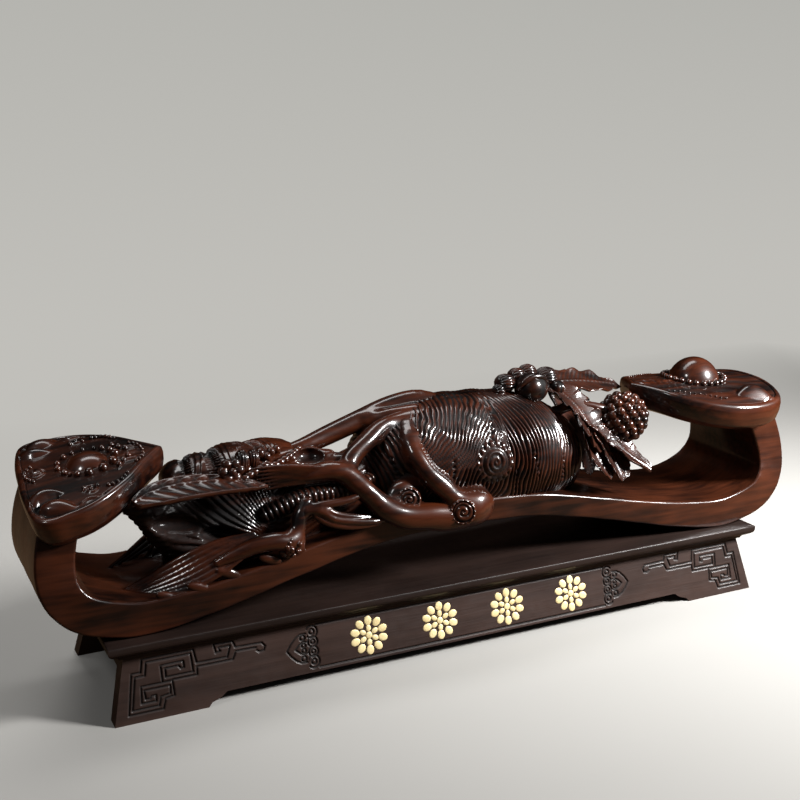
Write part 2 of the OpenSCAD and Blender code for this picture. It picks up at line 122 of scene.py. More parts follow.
def bump(d: Array, width: float) -> Array:
    """Returns a bell of height one at distance zero that fades over the width."""
    return np.exp(-(d / width) ** 2)


def ridges(phase: Array, power: float) -> Array:
    """Returns round ridges parted by narrow grooves: 0 in a groove, 1 on a ridge, one per turn of phase."""
    return np.abs(np.sin(np.pi * phase)) ** power


def wander(seed: int, *coords: Array) -> Array:
    """Adds five sine waves whose directions and phases come from a seed.

    Args:
        seed: Number that fixes the directions and phases.
        coords: Coordinates, already scaled so that one wave is about six units long.

    Returns:
        A smooth value between about -2 and 2.
    """
    rng = np.random.default_rng(seed)
    turns = rng.normal(size=(5, len(coords)))
    shift = rng.uniform(0.0, TURN, 5)
    waves = [np.sin(sum(f * c for f, c in zip(row, coords)) + s) for row, s in zip(turns, shift)]
    return sum(waves) / math.sqrt(5.0)


def smooth_path(points: Rows, count: int) -> Array:
    """Draws a Catmull-Rom curve through points and spaces it evenly along its length.

    Args:
        points: Rows of two or three coordinates, then any values carried along, such as a radius.
        count: Rows wanted.

    Returns:
        An array of count rows with the same columns.
    """
    p = np.asarray(points, float)
    p = np.vstack([2 * p[0] - p[1], p, 2 * p[-1] - p[-2]])
    t = np.linspace(0.0, len(p) - 3.0, 24 * (len(p) - 3) + 1)
    i = np.minimum(t.astype(int), len(p) - 4)
    f = (t - i)[:, None]
    a, b, c, d = p[i], p[i + 1], p[i + 2], p[i + 3]
    second, third = 2 * a - 5 * b + 4 * c - d, 3 * b - a - 3 * c + d
    q = 0.5 * (2 * b + (c - a) * f + second * f ** 2 + third * f ** 3)
    s = lengths(q)
    u = np.linspace(0.0, s[-1], count)
    return np.stack([np.interp(u, s, q[:, k]) for k in range(q.shape[1])], axis=1)


def carved(points: Rows) -> list[list[float]]:
    """Lifts points given above the crown of the handle to heights above the floor."""
    return [[p[0], p[1], p[2] + CROWN, *p[3:]] for p in points]


def normals_of(grid: Array) -> Array:
    """Finds the outward normals of a grid that closes round its second axis."""
    along = np.gradient(grid, axis=0)
    around = np.roll(grid, -1, 1) - np.roll(grid, 1, 1)
    n = unit(np.cross(along, around))
    out = grid - grid.mean(axis=1, keepdims=True)
    return n * (1.0 if np.sum(n * out) >= 0.0 else -1.0)


def raised(grid: Array, height: Array) -> Array:
    """Moves each point of a ring grid along its normal by a height."""
    return grid + normals_of(grid) * height[..., None]


@dataclass
class Skin:
    """Closed patches of one piece, joined into one mesh.

    A patch is a grid of rings, closed round each ring and by a pole at each end, or the skin of a field.
    Each point carries a value of painted shade, 0 on a ridge and 1 in a groove, for the finishes to read.
    """
    name: str
    points: list[Array] = field(default_factory=list)
    hollow_shade: list[Array] = field(default_factory=list)
    quads: list[Array] = field(default_factory=list)
    tris: list[Array] = field(default_factory=list)
    count: int = 0

    def rings(self, grid: Array, hollow_shade: Array | float = 0.0) -> None:
        """Adds a patch of rings with a pole at each end.

        Args:
            grid: Points as rings, points of a ring, coordinates.
            hollow_shade: Painted shade at each point, from 0 to 1, as deep as the carving.
        """
        m, n = grid.shape[:2]
        index = self.count + np.arange(m * n).reshape(m, n)
        ahead = np.roll(index, -1, 1)
        quads = np.stack([index[:-1], ahead[:-1], ahead[1:], index[1:]], -1).reshape(-1, 4)
        first, last = self.count + m * n, self.count + m * n + 1
        tris = np.concatenate([
            np.stack([ahead[0], index[0], np.full(n, first)], -1),
            np.stack([index[-1], ahead[-1], np.full(n, last)], -1)])
        points = np.concatenate([grid.reshape(-1, 3), grid[[0, -1]].mean(axis=1)])
        depth = np.broadcast_to(np.asarray(hollow_shade, float), (m, n))
        local = points - points.mean(axis=0)
        q, t = local[quads - self.count], local[tris - self.count]
        volume = np.sum(q[:, 0] * np.cross(q[:, 1], q[:, 2])) + np.sum(q[:, 0] * np.cross(q[:, 2], q[:, 3]))
        volume += np.sum(t[:, 0] * np.cross(t[:, 1], t[:, 2]))
        if volume < 0.0:
            quads, tris = quads[:, ::-1], tris[:, ::-1]
        self.points.append(points)
        self.hollow_shade.append(np.r_[depth.ravel(), depth[0].mean(), depth[-1].mean()])
        self.quads.append(quads)
        self.tris.append(tris)
        self.count += len(points)

    def relieved(self, grid: Array, height: Array | None) -> None:
        """Adds a patch of rings, raised by a height where there is one, with painted shade on its low
        parts.
        """
        if height is None:
            self.rings(grid)
        else:
            self.rings(raised(grid, height), held(-height / max(1e-6, float(-height.min()))))

    def mesh(self, points: Array, quads: Array, hollow_shade: Array) -> None:
        """Adds a closed patch of four-sided faces.

        Args:
            points: Points in mm.
            quads: Faces as rows of four places in points, outward.
            hollow_shade: Painted shade at each point, from 0 to 1.
        """
        self.points.append(points)
        self.hollow_shade.append(hollow_shade)
        self.quads.append(quads + self.count)
        self.count += len(points)

    def tube(self, points: Rows, count: int, sides: int,
             relief: Callable[[Array, Array], Array] | None = None) -> None:
        """Adds a round limb: a circle carried along a path, with half-round ends.

        Args:
            points: Rows of x, y, z above the crown of the handle, and radius.
            count: Places along the path.
            sides: Points round the limb.
            relief: Height in mm from the length along the limb in mm and the angle round it.
        """
        path = smooth_path(carved(points), count)
        turn = np.radians([82.0, 62.0, 42.0, 22.0])
        way = unit(np.gradient(path[:, :3], axis=0))
        head = np.c_[path[0, :3] - way[0] * (path[0, 3] * np.sin(turn))[:, None], path[0, 3] * np.cos(turn)]
        tail = np.c_[path[-1, :3] + way[-1] * (path[-1, 3] * np.sin(turn[::-1]))[:, None],
                     path[-1, 3] * np.cos(turn[::-1])]
        p = np.vstack([head, path, tail])
        way = np.vstack([np.repeat(way[:1], 4, 0), way, np.repeat(way[-1:], 4, 0)])
        u = unit(np.cross([0.25, 1.0, 0.3], way))
        v = np.cross(way, u)
        a = angles(sides)
        spoke = np.cos(a)[None, :, None] * u[:, None] + np.sin(a)[None, :, None] * v[:, None]
        grid = p[:, None, :3] + p[:, None, 3:4] * spoke
        self.relieved(grid, None if relief is None else relief(*np.meshgrid(lengths(p), a, indexing="ij")))

    def balls(self, centres: Array, radii: Array) -> None:
        """Adds small balls of given middles and radii, each twelve points round and seven rings high."""
        a = angles(12)
        b = np.radians([-78.0, -52.0, -26.0, 0.0, 26.0, 52.0, 78.0])
        ring = np.stack([np.cos(b)[:, None] * np.cos(a), np.cos(b)[:, None] * np.sin(a),
                         np.sin(b)[:, None] * np.ones(12)], -1)
        for c, r in zip(np.atleast_2d(centres), np.atleast_1d(radii)):
            self.rings(c + r * ring)

    def egg(self, centre: Sequence[float], radii: Sequence[float], shape: tuple[int, int],
            relief: Callable[[Array, Array], Array] | None = None) -> None:
        """Adds an egg whose poles lie along x.

        Args:
            centre: Middle in mm.
            radii: Half lengths along x, y and z.
            shape: Rings, and points of a ring.
            relief: Height in mm from the angle from the left pole and the angle round.
        """
        b, a = np.meshgrid(np.linspace(0.04, np.pi - 0.04, shape[0]), angles(shape[1]), indexing="ij")
        local = np.stack([-radii[0] * np.cos(b), radii[1] * np.sin(b) * np.cos(a),
                          radii[2] * np.sin(b) * np.sin(a)], -1)
        self.relieved(np.asarray(centre, float) + local, None if relief is None else relief(b, a))

    def coil(self, centre: Sequence[float], facing: Sequence[float], radius: float, turns: float,
             dots: int, dome: float = 0.35) -> None:
        """Adds a low boss cut with a spiral, in a ring of dots.

        The height falls from the middle to the rim as a dome. A groove runs where the distance from the
        middle, in pitches, less the angle in turns is a whole number, and dots stand round the rim.

        Args:
            centre: Middle of the boss on the surface, in mm.
            facing: Direction that it faces.
            radius: Radius of the boss.
            turns: Turns of the spiral.
            dots: Dots round the rim.
            dome: Height of the dome as a share of the radius.
        """
        w = unit(np.asarray(facing, float))
        u = unit(np.cross([0.0, 0.0, 1.0], w))
        v = np.cross(w, u)
        r, a = disc(0.03, 44, 72)
        spiral = 0.72
        inner = r < spiral
        cut = ridges(r / spiral * turns - a / TURN, 0.7)
        moat = bump(r - 0.76, 0.05)
        height = radius * dome * np.sqrt(held(1.0 - r ** 2))
        height = height - np.where(inner, 0.14 * radius * (1.0 - cut), 0.0)
        height -= 0.12 * radius * moat
        height += 0.13 * radius * bump(r - 0.88, 0.07) * np.maximum(np.cos(dots * a), 0.0)
        # Painted shade in the spiral's groove and in the moat; none on the skirt.
        deep = held(np.where(inner, 1.0 - cut, 0.0) + moat)
        spoke = np.cos(a)[..., None] * u + np.sin(a)[..., None] * v
        top = np.asarray(centre, float) + radius * r[..., None] * spoke + height[..., None] * w
        skirt = top[-1:] - np.array([0.3, 0.6])[:, None, None] * radius * w
        self.rings(np.concatenate([top, skirt]), np.concatenate([deep, deep[-1:] * 0.0, deep[-1:] * 0.0]))

    def leaf(self, points: Rows, facing: Sequence[float], pitch: float, teeth: float, camber: float,
             thick: float, rib: float, spine: float = 0.0, tooth: float = 7.0, wave: float = 0.0,
             crisp: float = 0.8, rim: float = 0.0) -> None:
        """Adds a leaf: a sheet along a path with a midrib and slanting side ribs on both faces.

        Across the leaf the sheet bends by the camber times the square of the share of the width from the
        midrib, and its edges rise and fall in a wave. Side ribs follow the length less 0.8 times the
        distance from the midrib. Each tooth of the edge widens slowly towards the tip and steps back.

        Args:
            points: Rows of x, y, z and half width, above the crown of the handle.
            facing: Direction that the upper face looks in.
            pitch: Distance between side ribs in mm.
            teeth: Depth of the toothed edge as a share of the half width.
            camber: Hollow of the leaf as a share of the half width.
            thick: Thickness at the midrib.
            rib: Height of the side ribs.
            spine: Place of the midrib across the leaf, from -1 to 1.
            tooth: Distance between teeth in mm.
            wave: Rise and fall of the edges in mm.
            crisp: Power of the side ribs, low for broad ribs with narrow grooves.
            rim: Height of a raised border along the edges.
        """
        p = smooth_path(carved(points), 140)
        way = unit(np.gradient(p[:, :3], axis=0))
        u = unit(np.cross(np.asarray(facing, float), way))
        v = np.cross(way, u)
        s = lengths(p)
        half = 34
        turn = np.linspace(-1.0, 1.0, half)
        across = np.r_[turn, turn[::-1][1:-1]]
        c, length = np.meshgrid(across, s, indexing="xy")
        face = np.broadcast_to(np.r_[np.ones(half), -np.ones(half - 2)], c.shape)
        width = np.maximum(p[:, 3:4], 0.4)
        saw = (length / tooth + 0.5 * (c > 0.0)) % 1.0
        reach = width * c * (1.0 + teeth * (saw - 0.7) * np.abs(c) ** 3)
        off = np.abs(c - spine) * width
        side_rib = ridges((length - 0.8 * off) / pitch, crisp)
        mid = bump(off, 0.9)
        fade = np.clip(width / 6.0, 0.15, 1.0)
        sheet = camber * width * ((c - spine) ** 2 - 0.35) + wave * np.sin(length / 3.4 + 2.0 * c) * c ** 2
        body = 0.5 * thick * (0.4 + 0.6 * np.sqrt(held(1.0 - c ** 2))) * np.clip(width / 5.0, 0.3, 1.0)
        border = ease((np.abs(c) - 0.84) / 0.06) if rim else np.abs(c) ** 6
        veins = rib * (side_rib - 0.6) * (1.0 - border) * (1.0 - mid) + 0.9 * mid + rim * border
        height = sheet + face * (body + fade * veins)
        grid = p[:, None, :3] + reach[..., None] * u[:, None] + height[..., None] * v[:, None]
        # Painted shade between the side ribs; none on the midrib or the border.
        self.rings(grid, held((1.0 - side_rib) * 0.9 * (1.0 - mid) * (1.0 - border)))

    def carve(self, node: str = "") -> None:
        """Builds a waxed piece of the ruyi that stands for the node given, or for that of its own name."""
        self.build(WAXED, Body.RUYI, Slot.CARVED, [node or self.name])

    def build(self, finish: "Coating", body: Body, slot: Slot,
              nodes: Sequence[str] = ()) -> bpy.types.Object:
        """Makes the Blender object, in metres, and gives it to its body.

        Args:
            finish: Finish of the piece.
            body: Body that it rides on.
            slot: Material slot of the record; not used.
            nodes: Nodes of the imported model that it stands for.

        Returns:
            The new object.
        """
        forward = FORWARD if body is Body.RUYI else 0.0
        points = (np.concatenate(self.points) - np.array([0.0, forward, 0.0])) * MM
        quads = np.concatenate(self.quads)
        tris = np.concatenate(self.tris) if self.tris else np.zeros((0, 3), int)
        mesh = bpy.data.meshes.new(self.name)
        mesh.vertices.add(len(points))
        mesh.vertices.foreach_set("co", points.astype(np.float32).ravel())
        mesh.loops.add(quads.size + tris.size)
        mesh.loops.foreach_set("vertex_index", np.r_[quads.ravel(), tris.ravel()].astype(np.int32))
        mesh.polygons.add(len(quads) + len(tris))
        starts = np.r_[4 * np.arange(len(quads)), 4 * len(quads) + 3 * np.arange(len(tris))]
        mesh.polygons.foreach_set("loop_start", starts.astype(np.int32))
        mesh.update(calc_edges=True)
        mesh.polygons.foreach_set("use_smooth", np.ones(len(mesh.polygons), bool))
        # Each point's painted shade goes to the mesh, for the finishes to darken by.
        mesh.attributes.new("hollow_shade", "FLOAT", "POINT").data.foreach_set(
            "value", np.concatenate(self.hollow_shade).astype(np.float32))
        mesh.validate()
        mesh.materials.append(finish.material())
        obj = bpy.data.objects.new(self.name, mesh)
        bpy.context.scene.collection.objects.link(obj)
        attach(obj, body.value)
        if nodes:
            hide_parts(*nodes)
        LOG.info("%s: %d points, %d faces", self.name, len(points), len(mesh.polygons))
        return obj


def blend(a: Array, b: Array, soft: float) -> Array:
    """Joins two distances to the nearer one, rounded where both are within the soft width."""
    h = held(0.5 + 0.5 * (b - a) / soft)
    return b + (a - b) * h - soft * h * (1.0 - h)


@dataclass
class Stroke:
    """Round limb along a path; rows are x, y, z above the crown, and radius."""
    points: Rows
    count: int = 14

    def distance(self, p: Array) -> Array:
        """Gives the distance from points to the limb: that to the nearest of its tapered lengths."""
        path = smooth_path(carved(self.points), self.count).astype(np.float32)
        low, high = (path[:, :3] - path[:, 3:]).min(0) - REACH, (path[:, :3] + path[:, 3:]).max(0) + REACH
        near = np.all((p > low) & (p < high), axis=1)
        q = p[near]
        best = np.full(len(q), REACH, np.float32)
        for a, b in zip(path[:-1], path[1:]):
            way = b[:3] - a[:3]
            off = q - a[:3]
            t = held(off @ way / max(float(way @ way), 1e-6))
            off -= t[:, None] * way
            np.minimum(best, np.sqrt(np.einsum("ij,ij->i", off, off)) - a[3] - t * (b[3] - a[3]), out=best)
        out = np.full(len(p), REACH, np.float32)
        out[near] = best
        return out

    def box(self) -> tuple[Array, Array]:
        """Gives the corners of the box that holds the limb."""
        path = smooth_path(carved(self.points), self.count)
        return (path[:, :3] - path[:, 3:]).min(0), (path[:, :3] + path[:, 3:]).max(0)


@dataclass
class Lump:
    """Egg of wood: its middle above the crown, half lengths, and a turn in degrees about y."""
    centre: Sequence[float]
    radii: Sequence[float]
    turn: float = 0.0

    def distance(self, p: Array) -> Array:
        """Gives the distance from points to the egg, found from its scaled ball."""
        q = p - np.asarray(carved([self.centre])[0], np.float32)
        c, s = math.cos(math.radians(self.turn)), math.sin(math.radians(self.turn))
        q = np.stack([q[:, 0] * c + q[:, 2] * s, q[:, 1], q[:, 2] * c - q[:, 0] * s], 1)
        r = np.asarray(self.radii, np.float32)
        k = np.linalg.norm(q / r, axis=1)
        return np.minimum(k * (k - 1.0) / np.maximum(np.linalg.norm(q / r ** 2, axis=1), 1e-4), REACH)

    def box(self) -> tuple[Array, Array]:
        """Gives the corners of the box that holds the egg."""
        c, r = np.asarray(carved([self.centre])[0]), np.asarray(self.radii, float)
        far = np.array([max(r[0], r[2]), r[1], max(r[0], r[2])]) if self.turn else r
        return c - far, c + far


@dataclass
class Trunk:
    """Thick core along x; rows are x, y, z above the crown, half width and half height."""
    rows: Rows

    def distance(self, p: Array) -> Array:
        """Gives about the distance from points to the ellipse of the core at the same x."""
        core = smooth_path(carved(self.rows), 80)
        y, z, w, h = (np.interp(p[:, 0], core[:, 0], core[:, i]) for i in (1, 2, 3, 4))
        over = np.maximum(np.maximum(core[0, 0] - p[:, 0], p[:, 0] - core[-1, 0]), 0.0)
        u, v = (p[:, 1] - y) / w, (p[:, 2] - z) / h
        far = np.hypot(u, v)
        d = far * (far - 1.0) / np.maximum(np.hypot(u / w, v / h), 1e-4)
        return np.minimum(np.hypot(np.maximum(d, 0.0), over) + np.minimum(d, 0.0), REACH).astype(np.float32)

    def box(self) -> tuple[Array, Array]:
        """Gives the corners of the box that holds the core."""
        core = np.asarray(carved(self.rows))
        far = np.c_[np.zeros(len(core)), core[:, 3], core[:, 4]]
        return (core[:, :3] - far).min(0), (core[:, :3] + far).max(0)


@dataclass
class Bed:
    """Upper face of the handle, which limbs and folds flow into."""
    half_width: float = 48.0
    half_length: float = 272.0

    def distance(self, p: Array) -> Array:
        """Gives about the distance from points to the upper face at the same x."""
        under, up, thick = Handle().edges(300)
        top = under + up * thick[:, None]
        flat = np.abs(top[:, 0]) < self.half_length
        z = np.interp(p[:, 0], top[flat, 0], top[flat, 1])
        off = np.maximum(0.92 * (p[:, 2] - z), np.abs(p[:, 1]) - self.half_width)
        return np.clip(off, -REACH, REACH).astype(np.float32)


Clay = Stroke | Lump | Trunk


@dataclass
class Sculpt:
    """Carved piece that flows into its neighbours.

    A field of distances is joined from the piece's own limbs and those of its neighbours, with a soft
    fillet, and hollows are scooped out of it. The skin is drawn where the field is zero: one point in each
    cell of a fine grid that the surface crosses, at the mean of its crossings of the cell's edges.

    Args:
        own: Limbs of the piece.
        near: Neighbours that it flows into.
        cuts: Shapes that are scooped out.
        soft: Width of the fillet to the neighbours, in mm like all lengths here.
        tight: Width of the fillet between its own limbs.
        cut_soft: Width of the fillet round a hollow.
        margin: How far a fillet may reach from its own limbs.
        spare: Room left round the grid.
        step: Distance between points of the grid.
        relief: Height added to the finished field.
        lines: Height added to its own limbs before they flow on.
        sink: How far the neighbours are shrunk first.
        shade: Least painted shade at a point.
    """
    own: Sequence[Clay]
    near: Sequence[Clay | Bed] = ()
    cuts: Sequence[Clay] = ()
    soft: float = 4.0
    tight: float = 1.6
    cut_soft: float = 2.5
    margin: float = 5.0
    spare: float = 3.0
    step: float = 0.8
    relief: Callable[[Array], Array] | None = None
    lines: Callable[[Array], Array] | None = None
    sink: float = 0.3
    shade: Callable[[Array], Array] | None = None

    def field(self, p: Array) -> Array:
        """Gives the distance from points to the finished piece; lines are cut before it flows on."""
        own = self.own[0].distance(p)
        for part in self.own[1:]:
            own = blend(own, part.distance(p), self.tight)
        if self.lines is not None:
            own = own - self.lines(p)
        whole = own
        for part in self.near:
            whole = blend(whole, part.distance(p) + self.sink, self.soft)
        whole = np.maximum(whole, own - self.margin)
        for cut in self.cuts:
            whole = -blend(-whole, cut.distance(p), self.cut_soft)
        return whole if self.relief is None else whole - self.relief(p)

    def grid(self) -> tuple[Array, Array]:
        """Fills a grid of the field, fine only near the surface.

        Returns:
            The grid of values, and the place of its first point.
        """
        corners = [part.box() for part in self.own]
        low = np.min([c[0] for c in corners], 0) - self.margin - self.spare
        high = np.max([c[1] for c in corners], 0) + self.margin + self.spare
        wide = 5
        coarse = wide * self.step
        n = np.ceil((high - low) / coarse).astype(int) + 1
        axes = [low[i] + coarse * np.arange(n[i]) for i in range(3)]
        spots = np.stack(np.meshgrid(*axes, indexing="ij"), -1).reshape(-1, 3)
        rough = self.field(spots.astype(np.float32)).reshape(n)
        close = np.abs(rough) < 1.9 * coarse
        values = rough.repeat(wide, 0).repeat(wide, 1).repeat(wide, 2).astype(np.float32)
        wanted = np.argwhere(close.repeat(wide, 0).repeat(wide, 1).repeat(wide, 2))
        first = low - (wide // 2) * self.step
        spots = (first + self.step * wanted).astype(np.float32)
        values[tuple(wanted.T)] = self.field(spots)
        return values, first

    @staticmethod
    def crossings(values: Array) -> tuple[Array, Array]:
        """Finds the cells of a grid that the surface crosses, and the mean of its crossings of their edges.

        Args:
            values: Grid of the field.

        Returns:
            First corner of each cell, and the mean seen from it, in steps of the grid.
        """
        inside = values < 0.0
        corner = np.stack(np.meshgrid([0, 1], [0, 1], [0, 1], indexing="ij"), -1).reshape(-1, 3)
        m = np.array(values.shape) - 1
        total = sum(inside[a:a + m[0], b:b + m[1], c:c + m[2]].astype(np.int8) for a, b, c in corner)
        cell = np.argwhere((total > 0) & (total < 8))
        at, hits = np.zeros((len(cell), 3)), np.zeros((len(cell), 1))
        edges = [(i, j) for i in range(8) for j in range(i + 1, 8)
                 if np.abs(corner[i] - corner[j]).sum() == 1]
        for i, j in edges:
            a, b = values[tuple((cell + corner[i]).T)], values[tuple((cell + corner[j]).T)]
            cross = (a < 0.0) != (b < 0.0)
            t = np.where(cross, a / np.where(cross, a - b, 1.0), 0.0)[:, None]
            at += cross[:, None] * (corner[i] + t * (corner[j] - corner[i]))
            hits += cross[:, None]
        return cell, at / hits

    @staticmethod
    def faces(inside: Array, cell: Array) -> Array:
        """Joins the cells round each edge of the grid that the surface crosses.

        Args:
            inside: Grid of whether a point is in the wood.
            cell: First corner of each crossed cell.

        Returns:
            Faces as rows of four places in the cells, outward.
        """
        index = np.full(tuple(np.array(inside.shape) - 1), -1, np.int64)
        index[tuple(cell.T)] = np.arange(len(cell))
        quads = []
        for axis in range(3):
            u, v = (axis + 1) % 3, (axis + 2) % 3
            head = [slice(1, -1)] * 3
            head[axis] = slice(0, -1)
            tail = list(head)
            tail[axis] = slice(1, None)
            one, two = inside[tuple(head)], inside[tuple(tail)]
            spot = np.argwhere(one != two) + np.array([0 if k == axis else 1 for k in range(3)])
            du, dv = np.eye(3, dtype=int)[u], np.eye(3, dtype=int)[v]
            around = np.stack([index[tuple(q.T)] for q in (spot - du - dv, spot - dv, spot, spot - du)], 1)
            flip = ~inside[tuple(spot.T)]
            around[flip] = around[flip][:, ::-1]
            quads.append(around)
        faces = np.concatenate(quads)
        return faces[np.all(faces >= 0, axis=1)]

    def add(self, skin: Skin) -> Skin:
        """Draws the surface of the field into a skin, with painted shade where wood closes in on a point,
        and returns the skin.
        """
        values, first = self.grid()
        cell, mean = self.crossings(values)
        points = first + self.step * (cell + mean)
        nearest = tuple(np.rint(cell + mean).astype(int).T)
        out = unit(np.stack([np.gradient(values, axis=k)[nearest] for k in range(3)], 1))
        # Painted shade: a point is shaded as far as wood lies within 1.6, 4 and 8 mm out along its normal,
        # which darkens grooves and the creases between limbs.
        hollow_shade = np.zeros(len(points))
        for far in (1.6, 4.0, 8.0):
            open_way = self.field((points + far * out).astype(np.float32)) / far
            hollow_shade = np.maximum(hollow_shade, held(1.15 * (0.9 - open_way)))
        if self.shade is not None:
            hollow_shade = np.maximum(hollow_shade, self.shade(points))
        skin.mesh(points, self.faces(values < 0.0, cell), hollow_shade)
        return skin


@dataclass
class Wires:
    """Node tree with short ways to add nodes and links to it."""
    tree: Tree

    def new(self, kind: str) -> Node:
        """Adds a shader node of a kind."""
        return self.tree.nodes.new("ShaderNode" + kind)

    def put(self, value: object, socket: Socket) -> None:
        """Links another socket to an input, or sets it to a plain value."""
        if isinstance(value, Socket):
            self.tree.links.new(value, socket)
        else:
            socket.default_value = value

    def fill(self, node: Node, values: dict[str, object]) -> Node:
        """Links or sets the named inputs of a node, and returns the node."""
        for label, value in values.items():
            self.put(value, node.inputs[label])
        return node

    def maths(self, kind: str, *values: object) -> Socket:
        """Adds a maths node and returns its result; each value is a number or a socket."""
        node = self.new("Math")
        node.operation = kind
        for socket, value in zip(node.inputs, values):
            self.put(value, socket)
        return node.outputs[0]

    def times(self, first: object, second: object) -> Socket:
        """Multiplies two values."""
        return self.maths("MULTIPLY", first, second)

    def limit(self, value: Socket) -> Socket:
        """Holds a value between 0 and 1."""
        return self.maths("MINIMUM", self.maths("MAXIMUM", value, 0.0), 1.0)

    def mix(self, share: Socket, first: object, second: object) -> Socket:
        """Mixes two colours; each is three numbers or a socket."""
        node = self.new("Mix")
        node.data_type = "RGBA"
        self.put(share, node.inputs["Factor"])
        for socket, value in zip((node.inputs[6], node.inputs[7]), (first, second)):
            self.put(value if isinstance(value, Socket) else (*value, 1.0), socket)
        return node.outputs[2]

    def noise(self, vector: Socket, scale: float, detail: float = 2.0) -> Socket:
        """Adds a noise and returns its value."""
        values = {"Vector": vector, "Scale": scale, "Detail": detail}
        return self.fill(self.new("TexNoise"), values).outputs["Fac"]

    def use(self, content: Tree, value: float) -> Node:
        """Adds a group node with its number set."""
        node = self.new("Group")
        node.node_tree = content
        node.inputs[0].default_value = value
        return node

    def cross(self, share: Socket, first: Node, second: Node, end: Node) -> None:
        """Mixes two shaders and links the result to an output node."""
        node = self.new("MixShader")
        for socket, value in zip(node.inputs, (share, first.outputs[0], second.outputs[0])):
            self.put(value, socket)
        self.put(node.outputs[0], end.inputs["Surface"])


def group(name: str, number: tuple[str, float], results: Sequence[str],
          wire: Callable[[Wires, Socket], Sequence[Socket]]) -> Tree:
    """Makes a shader node group of plain numbers, or returns the one made before.

    Args:
        name: Name of the group.
        number: Name and default of its input.
        results: Name of each output.
        wire: Fills the group from its input and lists the value of each output.

    Returns:
        The group.
    """
    tree = bpy.data.node_groups.get(name)
    if tree:
        return tree
    tree = bpy.data.node_groups.new(name, "ShaderNodeTree")
    kind = "NodeSocketFloat"
    tree.interface.new_socket(number[0], in_out="INPUT", socket_type=kind).default_value = number[1]
    for label in results:
        tree.interface.new_socket(label, in_out="OUTPUT", socket_type=kind)
    source, sink = tree.nodes.new("NodeGroupInput"), tree.nodes.new("NodeGroupOutput")
    for socket, value in zip(sink.inputs, wire(Wires(tree), source.outputs[0])):
        tree.links.new(value, socket)
    return tree


def grain_group() -> Tree:
    """Makes the figure of the timber: broad streaks, fine streaks and pores along the length."""
    def wire(wires: Wires, contrast: Socket) -> list[Socket]:
        """Adds up three noises of object coordinates that are stretched along x."""
        coords = wires.new("TexCoord").outputs["Object"]
        noises = []
        for stretch, scale, detail in ((0.35, 38.0, 3.0), (0.06, 260.0, 4.0), (0.05, 900.0, 2.0)):
            place = wires.fill(wires.new("Mapping"), {"Vector": coords, "Scale": (stretch, 1.0, 1.0)})
            noises.append(wires.noise(place.outputs["Vector"], scale, detail))
        broad, fine, pores = noises
        mixed = wires.maths("ADD", wires.times(broad, 0.62), wires.times(fine, 0.38))
        figure = wires.maths("MULTIPLY_ADD", wires.maths("SUBTRACT", mixed, 0.5), contrast, 0.5)
        return [wires.limit(figure), wires.maths("ADD", wires.times(fine, 0.5), wires.times(pores, 0.5))]
    return group("timber_grain", ("Contrast", 2.6), ["Figure", "Relief"], wire)


def painted_shade_group() -> Tree:
    """Makes the mask of painted shade in the carved hollows from the mesh's stored value, broken up by a
    fine noise.
    """
    def wire(wires: Wires, strength: Socket) -> list[Socket]:
        """Multiplies the stored depth by a noise."""
        depth = wires.new("Attribute")
        depth.attribute_name = "hollow_shade"
        speckle = wires.noise(wires.new("TexCoord").outputs["Object"], 420.0)
        rough = wires.maths("MULTIPLY_ADD", speckle, 0.5, 0.75)
        deep = wires.times(wires.times(depth.outputs["Fac"], rough), strength)
        return [wires.maths("MINIMUM", deep, 1.0)]
    return group("painted_hollow_shade", ("Strength", 1.0), ["Mask"], wire)


def wear_group() -> Tree:
    """Makes slow patches of handling: where the wax is rubbed thin and where it is built up."""
    def wire(wires: Wires, amount: Socket) -> list[Socket]:
        """Multiplies two noises of object coordinates."""
        coords = wires.new("TexCoord").outputs["Object"]
        both = wires.times(wires.noise(coords, 24.0), wires.noise(coords, 170.0, 4.0))
        return [wires.times(both, amount)]
    return group("rubbed_wax", ("Amount", 1.0), ["Patch"], wire)


@dataclass(frozen=True)
class Coating:
    """Finish of a surface, made once as a material of its name."""
    name: str

    def material(self) -> bpy.types.Material:
        """Makes the material, or returns the one made before."""
        made = bpy.data.materials.get(self.name)
        if made:
            return made
        made = bpy.data.materials.new(self.name)
        made.use_nodes = True
        self.wire(Wires(made.node_tree), made.node_tree.nodes["Principled BSDF"])
        return made

    def wire(self, wires: Wires, shader: Node) -> None:
        """Sets the inputs of the shader; each kind of finish has its own."""


